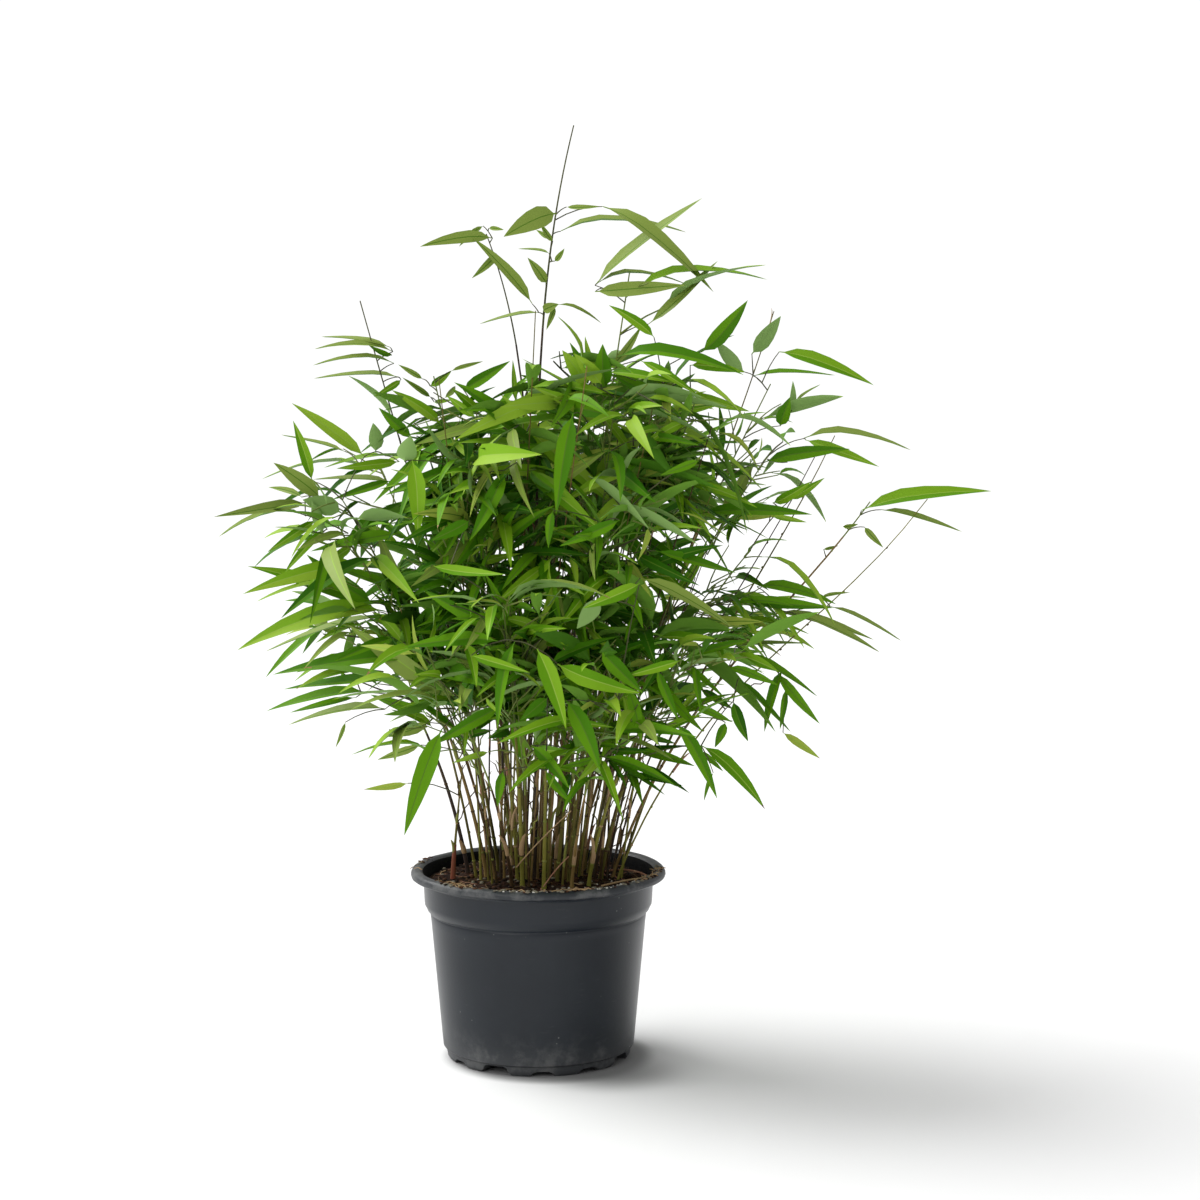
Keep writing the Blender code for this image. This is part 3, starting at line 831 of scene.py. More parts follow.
@dataclass(frozen=True)
class Clump:
    """The canes of the clump: the outer shoots, the young bare ones and the round head."""

    centre: Vector = Vector((0.002, 0.012, 0.0))
    half: Vector = Vector((0.072, 0.058))
    head_centre: Vector = Vector((0.025, 0.000, 0.455))
    head_half: Vector = Vector((0.216, 0.190, 0.172))
    head_lowest: float = -0.66
    head_shoulder: float = 0.75
    head_canes: int = 17
    head_phase: float = 0.8
    head_leaves: int = 26
    above_tip: float = 0.020
    seed: int = 13
    ground: float = 0.1593
    radius: float = 0.0021
    spacing: float = 0.0072
    samples: int = 40
    trials: int = 200
    move: float = 0.035
    # Name, foot, tip, arch, leafy share from and to, nodes, most leaves, leaf top, radius, seed.
    outer: tuple = (
        ("tall", (-0.004, 0.01), (0.032, 0.0, 0.818),
         0.10, 0.70, 0.87, 3, 6, 0.756, 0.0021, 44),
        ("top_left", (-0.012, 0.026), (-0.045, 0.02, 0.726),
         0.12, 0.8, 1.0, 2, 3, 0.735, 0.0017, 2),
        ("top_right", (0.016, 0.0), (0.08, -0.03, 0.69),
         0.14, 0.64, 1.0, 5, 10, 0.752, 0.0017, 50),
        ("right_high", (0.044, 0.022), (0.205, 0.02, 0.595),
         0.2, 0.54, 1.0, 6, 22, 0.64, 0.0019, 6),
        ("right_far", (0.066, 0.004), (0.292, 0.005, 0.492),
         0.14, 0.9, 1.0, 1, 2, 0.53, 0.0016, 25),
        ("left_high", (-0.04, 0.022), (-0.157, 0.03, 0.668),
         0.12, 0.52, 0.88, 6, 16, 0.64, 0.0018, 4),
        ("front_left", (-0.022, -0.04), (-0.075, -0.165, 0.35),
         0.34, 0.36, 1.0, 6, 26, 0.42, 0.0019, 17),
        ("front_right", (0.03, -0.04), (0.07, -0.17, 0.34),
         0.34, 0.36, 1.0, 6, 26, 0.42, 0.0019, 26),
    )
    # Name, foot, tip, arch and radius.
    bare: tuple = (
        ("bare_left", (-0.056, 0.010), (-0.122, -0.020, 0.420), 0.20, 0.0016),
        ("bare_right", (0.050, 0.046), (0.211, 0.070, 0.660), 0.02, 0.0016),
        ("bare_far_right", (0.074, 0.030), (0.268, 0.085, 0.548), 0.06, 0.0017),
        ("bare_red", (-0.076, 0.000), (-0.066, -0.020, 0.262), 0.10, 0.0017),
        ("bare_front", (0.006, -0.044), (0.010, -0.080, 0.330), 0.12, 0.0023),
    )
    # Thin leafy shoots inside the head: foot, tip, arch, radius, leafy share from, and nodes.
    inner: tuple = (
        ((-0.030, -0.006), (-0.052, -0.030, 0.575), 0.12, 0.0013, 0.62, 6),
        ((-0.010, -0.022), (-0.010, -0.085, 0.585), 0.12, 0.0013, 0.58, 6),
        ((0.010, -0.014), (0.034, -0.045, 0.615), 0.10, 0.0014, 0.60, 6),
        ((0.028, -0.024), (0.068, -0.095, 0.590), 0.12, 0.0013, 0.58, 6),
        ((0.036, -0.004), (0.110, -0.035, 0.600), 0.14, 0.0013, 0.62, 6),
        ((0.020, 0.034), (0.050, 0.050, 0.610), 0.12, 0.0013, 0.60, 6),
        ((-0.016, 0.040), (-0.020, 0.065, 0.580), 0.12, 0.0012, 0.62, 6),
        ((0.040, 0.038), (0.100, 0.070, 0.585), 0.14, 0.0013, 0.62, 6),
        ((-0.040, -0.024), (-0.068, -0.100, 0.375), 0.22, 0.0012, 0.34, 5),
        ((-0.008, -0.040), (-0.016, -0.130, 0.350), 0.26, 0.0012, 0.36, 5),
        ((0.022, -0.038), (0.050, -0.125, 0.365), 0.24, 0.0012, 0.36, 5),
        ((0.044, -0.026), (0.096, -0.080, 0.385), 0.22, 0.0012, 0.36, 5),
        ((-0.052, -0.004), (-0.104, -0.020, 0.385), 0.20, 0.0012, 0.40, 5),
        ((0.012, -0.026), (0.016, -0.075, 0.430), 0.14, 0.0012, 0.38, 6),
        ((-0.022, -0.018), (-0.034, -0.060, 0.440), 0.14, 0.0012, 0.40, 6),
        ((-0.046, -0.014), (-0.168, -0.052, 0.500), 0.26, 0.0013, 0.62, 6),
        ((0.034, 0.044), (0.062, 0.105, 0.385), 0.22, 0.0012, 0.38, 5),
        ((-0.024, 0.046), (-0.050, 0.100, 0.380), 0.22, 0.0012, 0.38, 5),
    )
    # How far a drawn cane leans to the right of its straight growth, in its upper middle.
    leans: tuple = (("cane_tall", -0.016), ("cane_top_left", 0.022))

    def shown(self, cane: Cane, share: float) -> Vector:
        """A point of a cane as it is drawn, with its lean."""
        lean = dict(self.leans).get(cane.name, 0.0)
        return cane.point(share) + Vector((lean * 6.75 * share**2 * (1 - share), 0.0, 0.0))

    def inner_canes(self, standing: Sequence[Cane]) -> list[Cane]:
        """The thin leafy shoots inside the head, clear of the canes that stand.

        Args:
            standing: every other cane.

        Returns:
            The shoots.
        """
        rng = random.Random(self.seed + 3)
        canes = list(standing)
        for number, (foot, tip, arch, radius, leafy_from, nodes) in enumerate(self.inner):
            shoot = Cane(
                name=f"inner_{number + 1}",
                foot=Vector((*foot, self.ground)),
                tip=Vector(tip),
                arch=arch,
                leafy_from=leafy_from,
                leafy_to=1.0,
                nodes=nodes,
                most_leaves=5 * nodes,
                leaf_top=tip[2] + self.above_tip,
                radius=radius,
                seed=self.seed,
                in_head=True,
            )
            canes.append(self.moved_clear(rng, shoot, canes))
        return canes[len(standing) :]

    def head_cane(self, index: int, rng: random.Random) -> Cane:
        """A cane of the round head: its tip lies on the head's shell, its foot under it.

        Args:
            index: which one, from the top down.
            rng: the clump's seeded numbers.

        Returns:
            The cane.
        """
        share = (index + 0.1) / (self.head_canes - 0.5)
        azimuth = self.head_phase + index * GOLDEN_ANGLE
        tilt = math.acos(1 - (1 - self.head_lowest) * share)
        depth = 0.96 - 0.18 * (index % 3 == 1) * (index > 3)
        level = Vector((math.cos(azimuth), math.sin(azimuth)))
        outward = math.sin(tilt) ** self.head_shoulder * level
        tip = self.head_centre + Vector(
            (
                self.head_half.x * depth * outward.x,
                self.head_half.y * depth * outward.y,
                self.head_half.z * depth * math.cos(tilt),
            )
        )
        spread = share**0.5
        foot = Vector(
            (
                self.centre.x + self.half.x * spread * math.cos(azimuth),
                self.centre.y + self.half.y * spread * math.sin(azimuth),
                self.ground,
            )
        )
        return Cane(
            name=f"cane_{index + 1:02d}",
            foot=foot,
            tip=tip,
            arch=0.14 + 0.36 * share,
            leafy_from=0.40 + 0.06 * rng.random(),
            leafy_to=1.0,
            nodes=6,
            most_leaves=self.head_leaves,
            leaf_top=tip.z + self.above_tip,
            radius=self.radius * rng.uniform(0.85, 1.15),
            seed=self.seed,
            in_head=True,
        )

    def outer_cane(self, name: str, foot: tuple, tip: tuple, *rest: Any) -> Cane:
        """A shoot that stands out of the round head, from its row of sizes."""
        return Cane(f"cane_{name}", Vector((*foot, self.ground)), Vector(tip), *rest, False)

    def bare_cane(self, name: str, foot: tuple, tip: tuple, arch: float, radius: float) -> Cane:
        """A young cane without leaves, bare to its tip."""
        return self.outer_cane(name, foot, tip, arch, 1.0, 1.0, 0, 0, tip[2], radius, 0)

    def clears(self, cane: Cane, others: list[Cane]) -> bool:
        """Whether a cane keeps its distance from every other, all the way up.

        Args:
            cane: the cane.
            others: the other canes.

        Returns:
            True where it does.
        """
        points = np.array(cane.line(0.0, 1.0, self.samples))
        lines = [other.line(0.0, 1.0, self.samples) for other in others]
        return not others or distances(points, segments_of(lines)).min() > self.spacing

    def moved_clear(self, rng: random.Random, cane: Cane, others: list[Cane]) -> Cane:
        """Moves a cane's foot, as little as it takes, to where the cane touches no other.

        Args:
            rng: the clump's seeded numbers.
            cane: the cane as it was first set.
            others: the canes that already stand.

        Returns:
            The cane in its place.
        """
        for trial in range(self.trials):
            reach = self.move * trial / self.trials
            shift = Vector((rng.uniform(-reach, reach), rng.uniform(-reach, reach), 0.0))
            moved = replace(cane, foot=cane.foot + shift)
            if self.clears(moved, others):
                return moved
        return cane

    def canes(self) -> list[Cane]:
        """Every cane of the clump, the outer shoots first.

        Returns:
            The canes.
        """
        rng = random.Random(self.seed)
        canes = [self.outer_cane(*shoot) for shoot in self.outer]
        canes += [self.bare_cane(*shoot) for shoot in self.bare]
        canes += [self.head_cane(index, rng) for index in range(self.head_canes)]
        standing: list[Cane] = []
        for cane in canes:
            standing.append(self.moved_clear(rng, cane, standing))
        return standing

    def outward(self, point: Vector) -> Vector:
        """The level direction from the clump's middle line to a point.

        Args:
            point: the point.

        Returns:
            The unit direction.
        """
        away = point - self.centre
        away.z = 0.0
        return away.normalized() if away.length > 1e-3 else Vector((0, -1, 0))


@dataclass(frozen=True)
class Habit:
    """How twigs and leaves grow: the rule's sizes, and those of the finer twigs after it."""

    stem_rings: int = 5
    stem_tip: float = 0.0007
    seat: float = 0.0003
    twig_radii: tuple = (0.0010, 0.0006)
    twig_length: tuple = (0.075, 0.035)
    twig_angle: float = math.radians(50)
    twig_trials: int = 14
    leaves_a_twig: int = 5
    leaf_trials: int = 16
    leaf_length: tuple = (0.076, 0.112)
    leaf_width: float = 0.22
    leaf_arch: tuple = (0.03, 0.11)
    leaf_angle: float = math.radians(40)
    leaf_roll: float = 0.9
    leaf_outward: float = 0.22
    droop: tuple = (0.60, 0.10)
    droop_heights: tuple = (0.30, 0.62)
    shoot_reach: float = 0.115
    margin: float = 0.0012
    lowest_leaf: float = 0.196
    head_reach: Vector = Vector((0.295, 0.265, 0.222))
    limb_clearance: float = 0.0006
    cane_taper: float = 0.55
    cane_rings: int = 5
    cane_sides: int = 5
    foot_swell: float = 1.35
    bare_tip: float = 0.0006
    # The finer twigs.
    fine_radii: tuple = (0.0006, 0.0004)
    fine_length: tuple = (0.020, 0.046)
    fine_trials: int = 7
    fine_a_twig: int = 2
    fine_leaves: int = 3
    fine_leaf_trials: int = 9
    fine_leaf_width: float = 0.15
    between_nodes: int = 5
    # The share of the finer twigs that are young, and the sizes of young and grown leaves.
    young_share: float = 0.30
    young_size: tuple = (0.45, 0.7)
    grown_size: tuple = (0.8, 1.0)

    def droop_at(self, height: float) -> float:
        """How far a leaf that starts at a height hangs: more at the foot of the crown."""
        return self.droop[0] + (self.droop[1] - self.droop[0]) * risen(height, *self.droop_heights)

    def limb_radii(self, cane: Cane, rings: int) -> list[float]:
        """The radii of a cane's bare part: a swollen foot, then an even taper.

        Args:
            cane: the cane.
            rings: how many radii are needed.

        Returns:
            The radii, from the foot up.
        """
        end = self.bare_tip if not cane.nodes else cane.radius * self.cane_taper
        radii = even_steps(cane.radius, end, rings)
        radii[0] *= self.foot_swell
        return radii

    def stem_line(self, cane: Cane) -> list[Vector]:
        """The line of a mass's own stem, which starts a hair above the end of its cane."""
        gap = self.seat / (cane.tip - cane.foot).length
        return cane.line(cane.leafy_from + gap, 1.0, self.stem_rings)

    def limb_tree(self, canes: Sequence[Cane]) -> BVHTree:
        """Every cane's bare part as one search tree, a little fatter than the canes are.

        Args:
            canes: the canes.

        Returns:
            The search tree.
        """
        vertices: list[Vector] = []
        faces: list[tuple[int, ...]] = []
        for cane in canes:
            line = cane.line(0.0, cane.leafy_from, self.cane_rings)
            radii = [r + self.limb_clearance for r in self.limb_radii(cane, self.cane_rings)]
            more_vertices, more_faces = tube(line, radii, self.cane_sides)
            base = len(vertices)
            vertices += more_vertices
            faces += [tuple(base + i for i in face) for face in more_faces]
        return BVHTree.FromPolygons(vertices, faces)


@dataclass
class Spray:
    """One twig with its leaves, which take their green together."""

    line: list[Vector]
    leaves: list[Leaf]
    fine: bool


class Mass:
    """The foliage of one cane, which keeps to the space that is nearer to its stem than others."""

    def __init__(self, cane: Cane, clump: Clump, habit: Habit, stems: dict, limbs: BVHTree):
        """Sets out the space of one cane's foliage.

        Args:
            cane: the cane that carries it.
            clump: the clump that the cane stands in.
            habit: how its twigs and leaves grow.
            stems: the line of every stem that it keeps clear of and its own, by its cane's name.
            limbs: every cane's bare part.
        """
        self.cane, self.clump, self.habit, self.limbs = cane, clump, habit, limbs
        self.width = habit.leaf_width
        self.own = segments_of([stems[cane.name]])
        others = [line for name, line in stems.items() if name != cane.name]
        self.others = segments_of(others) if others else None
        self.taken: list[BVHTree] = []
        self.sprays: list[Spray] = []

    def holds(self, vertices: Sequence[Vector], faces: Sequence[tuple]) -> bool:
        """Whether a twig or leaf stays in the space and clear of every limb.

        Args:
            vertices: the points of its solid.
            faces: its faces.

        Returns:
            True where it does.
        """
        points = np.array(vertices)
        points = np.vstack([points, 0.5 * (points + points[0]), 0.5 * (points + points[-1])])
        if points[:, 2].min() < self.habit.lowest_leaf or points[:, 2].max() > self.cane.leaf_top:
            return False
        if self.cane.in_head:
            away = (points - np.array(self.clump.head_centre)) / np.array(self.habit.head_reach)
            if (away * away).sum(-1).max() > 1.0:
                return False
        mine = distances(points, self.own)
        if mine.max() > self.habit.shoot_reach:
            return False
        if self.others is not None:
            if (distances(points, self.others) < mine + self.habit.margin).any():
                return False
        return not self.limbs.overlap(BVHTree.FromPolygons(vertices, faces))

    def is_free(self, blades: Sequence[Leaf], vertices: Sequence, faces: Sequence) -> bool:
        """Whether a leaf crosses none of some blades and none that the mass already has.

        Args:
            blades: the blades on the same twig.
            vertices: the points of the leaf's solid.
            faces: its faces.

        Returns:
            True where it crosses none.
        """
        tree = BVHTree.FromPolygons(vertices, faces)
        if any(tree.overlap(other) for other in self.taken):
            return False
        return not any(tree.overlap(BVHTree.FromPolygons(*blade.solid())) for blade in blades)

    def take(self, line: list[Vector], blades: list[Leaf], fine: bool) -> None:
        """Counts a twig's leaves in as the mass's own."""
        self.taken += [BVHTree.FromPolygons(*blade.solid()) for blade in blades]
        self.sprays.append(Spray(line, blades, fine))

    def trial_leaf(
        self, rng: random.Random, root: Vector, twig: Vector, rank: int, size: float, spread: float
    ) -> Leaf:
        """A trial leaf on a twig.

        Args:
            rng: the mass's seeded numbers.
            root: where the leaf grows.
            twig: the twig's direction.
            rank: -1 or 1 for its side of the twig, and 0 for the twig's last leaf.
            size: its share of the full size.
            spread: how freely its direction may vary, from 0 to 1.

        Returns:
            The leaf.
        """
        habit = self.habit
        outward = self.clump.outward(root)
        up = across(twig, Vector((0, 0, 1)) + 0.35 * outward)
        angle = rank * habit.leaf_angle * rng.uniform(0.7, 1.3) + spread * rng.uniform(-0.8, 0.8)
        along = Matrix.Rotation(angle, 3, up) @ twig + habit.leaf_outward * outward
        nod = rng.uniform(-0.25, 0.25) - habit.droop_at(root.z) + spread * rng.uniform(-0.5, 0.5)
        along.z += nod
        along.normalize()
        roll = Matrix.Rotation(rng.uniform(-habit.leaf_roll, habit.leaf_roll), 3, along)
        length = size * rng.uniform(*habit.leaf_length)
        width = length * self.width * rng.uniform(0.85, 1.15)
        arch = rng.uniform(*habit.leaf_arch)
        return Leaf(root, along, roll @ across(along, up), length, width, arch)

    def trial_twig(self, rng: random.Random, node: float, roll: float) -> list[Vector]:
        """A trial line for the side twig at one node of the stem.

        Args:
            rng: the mass's seeded numbers.
            node: which node, counted from the stem's foot.
            roll: the twig's turn round the stem.

        Returns:
            The twig's two ends.
        """
        cane, habit = self.cane, self.habit
        along = (node + 0.35) / cane.nodes
        share = cane.leafy_from + (cane.leafy_to - cane.leafy_from) * along
        start = cane.point(share)
        ahead = cane.point(min(share + 0.02, 1.0))
        stem = (ahead - cane.point(share - 0.02)).normalized()
        outward = self.clump.outward(start)
        side = Matrix.Rotation(roll, 3, stem) @ across(stem, outward)
        angle = habit.twig_angle * rng.uniform(0.6, 1.3)
        direction = math.cos(angle) * stem + math.sin(angle) * side + 0.30 * outward
        length = habit.twig_length[0] + (habit.twig_length[1] - habit.twig_length[0]) * along
        return [start, start + length * rng.uniform(0.45, 1.2) * direction.normalized()]

    def leaves_on(
        self, rng: random.Random, line: list[Vector], count: int, trials: int, full: float = 1.0
    ) -> list[Leaf]:
        """The leaves of one twig that find room: two ranks along it and one at its end.

        Args:
            rng: the mass's seeded numbers.
            line: the twig's two ends.
            count: how many leaves the twig has room for.
            trials: how often each leaf is tried.
            full: the share of the full size that they start from.

        Returns:
            The leaves.
        """
        blades: list[Leaf] = []
        direction = (line[-1] - line[0]).normalized()
        for k in range(count):
            last = k == count - 1
            root = line[0].lerp(line[-1], 1.0 if last else 0.30 + 0.65 * k / max(count - 1, 1))
            if last:
                root = root - 0.0008 * direction
            rank = 0 if last else (-1) ** k
            for trial in range(trials):
                spread = trial / trials
                size = full * (1.0 - 0.42 * spread)
                leaf = self.trial_leaf(rng, root, direction, rank, size, spread)
                blade = leaf.solid()
                if self.holds(*blade) and self.is_free(blades, *blade):
                    blades.append(leaf)
                    break
        return blades

    def grow(self) -> None:
        """Grows the twigs and leaves of the rule, in the order that the solids have them."""
        cane, habit = self.cane, self.habit
        rng = random.Random(f"{cane.name}:{cane.seed}")
        roll = rng.uniform(0, math.tau)
        for node in reversed(range(cane.nodes)):
            roll += GOLDEN_ANGLE
            room = min(habit.leaves_a_twig, cane.most_leaves - len(self.taken))
            if room < 1:
                continue
            best: list[Leaf] = []
            best_line: list[Vector] = []
            for trial in range(habit.twig_trials):
                line = self.trial_twig(rng, node, roll + rng.uniform(-0.4, 0.4) * (1 + trial))
                if not self.holds(*tube(line, habit.twig_radii, 3)):
                    continue
                blades = self.leaves_on(rng, line, room, habit.leaf_trials)
                if len(blades) > len(best) - (0 if best_line else 1):
                    best, best_line = blades, line
                if len(blades) == room:
                    break
            if best:
                self.take(best_line, best, False)
        if cane.leafy_to == 1.0:
            line = [cane.point(0.96), cane.point(1.0)]
            self.take(line, self.leaves_on(rng, line, 3, habit.leaf_trials), False)

    def grow_finer(self, fullness: float) -> None:
        """Carries the rule on to finer twigs, and to more twigs between the nodes.

        Args:
            fullness: how many of the finer twigs are tried, as a share of the habit's number.
        """
        cane, habit = self.cane, self.habit
        self.width = habit.fine_leaf_width
        rng = random.Random(f"{cane.name}:{cane.seed}:finer")
        for _ in range(round(fullness * habit.between_nodes)):
            node = (cane.nodes - 0.6) * rng.random() - 0.2
            self.try_finer(rng, lambda: self.trial_twig(rng, node, rng.uniform(0, math.tau)), 4)
        count = habit.fine_leaves
        for spray in list(self.sprays):
            for _ in range(habit.fine_a_twig):
                if rng.random() < fullness:
                    self.try_finer(rng, lambda: self.trial_branchlet(rng, spray.line), count)

    def try_finer(self, rng: random.Random, trial_line: Callable[[], list], count: int) -> None:
        """Grows the best of a few trial twigs, if any of them finds room.

        Args:
            rng: the mass's seeded numbers.
            trial_line: makes a trial line.
            count: how many leaves the twig has room for.
        """
        best: list[Leaf] = []
        best_line: list[Vector] = []
        habit = self.habit
        young = rng.random() < habit.young_share
        full = rng.uniform(*(habit.young_size if young else habit.grown_size))
        for _ in range(habit.fine_trials):
            line = trial_line()
            if not self.holds(*tube(line, habit.fine_radii, 3)):
                continue
            blades = self.leaves_on(rng, line, count, habit.fine_leaf_trials, full)
            if len(blades) > len(best):
                best, best_line = blades, line
            if len(blades) == count:
                break
        if best:
            self.take(best_line, best, True)

    def trial_branchlet(self, rng: random.Random, twig: Sequence[Vector]) -> list[Vector]:
        """A trial line for a branchlet of a twig.

        Args:
            rng: the mass's seeded numbers.
            twig: the line of the twig that it grows on.

        Returns:
            The branchlet's two ends.
        """
        start = twig[0].lerp(twig[-1], rng.uniform(0.25, 0.92))
        direction = (twig[-1] - twig[0]).normalized()
        side = Matrix.Rotation(rng.uniform(0, math.tau), 3, direction) @ direction.orthogonal()
        angle = math.radians(rng.uniform(25, 65))
        ahead = math.cos(angle) * direction + math.sin(angle) * side.normalized()
        ahead += 0.25 * self.clump.outward(start)
        return [start, start + rng.uniform(*self.habit.fine_length) * ahead.normalized()]


@dataclass(frozen=True)
class Openness:
    """Where the crown is full, where only single leaves stand out, and how a leaf lies there."""

    centre: Vector = Vector((0.026, 0.000, 0.448))
    half: Vector = Vector((0.205, 0.195, 0.176))
    thinning: tuple = (0.90, 1.12)
    crown_share: float = 0.90
    lone_share: float = 0.20
    lowest_tip: float = 0.238
    low_share: float = 0.15
    lift: float = 0.42
    lift_reach: tuple = (0.45, 0.85)
    lift_heights: tuple = (0.28, 0.58)
    sway: float = 0.34
    nod: float = 0.17
    hang: tuple = (-0.16, 0.40)
    hang_heights: tuple = (0.33, 0.56)
    growth: tuple = (0.74, 1.22)
    slenderness: tuple = (0.120, 0.168)
    # Openings through the crown as seen from the front: middle, half sizes and share kept.
    eye: Vector = Vector((0.0547, -2.2, 0.602))
    openings: tuple = (
        (0.198, 0.437, 0.062, 0.026, 0.08),
        (-0.125, 0.612, 0.085, 0.042, 0.15),
        (-0.240, 0.560, 0.060, 0.030, 0.10),
        (-0.255, 0.425, 0.030, 0.030, 0.25),
        (0.215, 0.620, 0.060, 0.040, 0.30),
        (0.068, 0.613, 0.060, 0.026, 0.42),
        (-0.050, 0.622, 0.034, 0.026, 0.35),
        (-0.150, 0.353, 0.036, 0.022, 0.40),
        (0.100, 0.455, 0.028, 0.018, 0.45),
        (0.062, 0.560, 0.020, 0.014, 0.45),
        (-0.008, 0.455, 0.014, 0.012, 0.40),
        (-0.215, 0.290, 0.050, 0.030, 0.20),
        (0.107, 0.353, 0.035, 0.024, 0.50),
        (-0.175, 0.447, 0.065, 0.017, 0.50),
    )

    def reach(self, point: Vector) -> float:
        """How far out a point lies: 1 on the edge of the full crown."""
        away = point - self.centre
        return Vector((away[k] / self.half[k] for k in range(3))).length

    def share_at(self, tip: Vector) -> float:
        """The share of the leaves that the crown keeps where their tips are.

        Args:
            tip: a leaf's tip.

        Returns:
            The share, from 0 to 1.
        """
        share = 1.0 + (self.lone_share - 1.0) * risen(self.reach(tip), *self.thinning)
        return share * (self.low_share if tip.z < self.lowest_tip else 1.0)

    def opening_at(self, point: Vector) -> float:
        """The share of the leaves that the openings keep at a point.

        Args:
            point: the point.

        Returns:
            The share, from 0 to 1.
        """
        seen = self.eye + (point - self.eye) * (self.eye.y / (self.eye.y - point.y))
        share = 1.0
        for x, z, wide, high, kept in self.openings:
            if ((seen.x - x) / wide) ** 2 + ((seen.z - z) / high) ** 2 < 1.0:
                share = min(share, kept)
        return share

    def living(self, leaf: Leaf, share: float, rng: random.Random) -> Leaf | None:
        """A leaf by the rule as it lives: slender, with a length and a lie of its own.

        Args:
            leaf: the leaf by the rule.
            share: the share of its shoot's leaves that are kept.
            rng: seeded numbers.

        Returns:
            The leaf, or None where the crown is open.
        """
        foot = 1.0 - risen(leaf.root.z, *self.lift_heights)
        foot *= risen(self.reach(leaf.root), *self.lift_reach)
        along = Matrix.Rotation(rng.gauss(0.0, self.sway), 3, UP) @ leaf.along.normalized()
        hangs = self.hang_heights[0] < leaf.root.z < self.hang_heights[1]
        along.z += self.lift * foot + rng.gauss(*(self.hang if hangs else (0.0, self.nod)))
        along.normalize()
        length = leaf.length * rng.uniform(*self.growth)
        chance, slenderness = rng.random(), rng.uniform(*self.slenderness)
        tip, middle = (leaf.root + part * length * along for part in (1.0, 0.5))
        share *= self.crown_share * self.share_at(tip)
        share *= min(self.opening_at(tip), self.opening_at(middle))
        if chance > share:
            return None
        up = across(along, leaf.up)
        return replace(leaf, along=along, up=up, length=length, width=length * slenderness)


# Leaves -------------------------------------------------------------------------------------


@dataclass(frozen=True)
class BladeForm:
    """The outline and the curves of a living leaf blade, as shares of its length."""

    stations: tuple = (0.012, 0.060, 0.17, 0.32, 0.50, 0.68, 0.83, 0.94)
    breadths: tuple = (0.065, 0.085, 0.74, 1.00, 0.93, 0.70, 0.40, 0.15)
    widest: float = 0.36
    fold: float = 0.38
    # The share of leaves whose one half of the fold takes the next deeper green, as painted shade.
    shaded: float = 0.65
    rib: float = 0.00042
    keel: float = 0.00055
    sag: tuple = (0.01, 0.13)
    sickle: tuple = (-0.05, 0.05)
    twist: tuple = (-0.75, 0.75)

    def hump(self, t: np.ndarray) -> np.ndarray:
        """The arch of the middle line, 1 at the widest section and 0 at both ends.

        Args:
            t: shares of the blade's length.

        Returns:
            The arch at each.
        """
        before, after = t / self.widest, (1 - t) / (1 - self.widest)
        side = np.where(t < self.widest, before, after)
        return side * (2 - side)


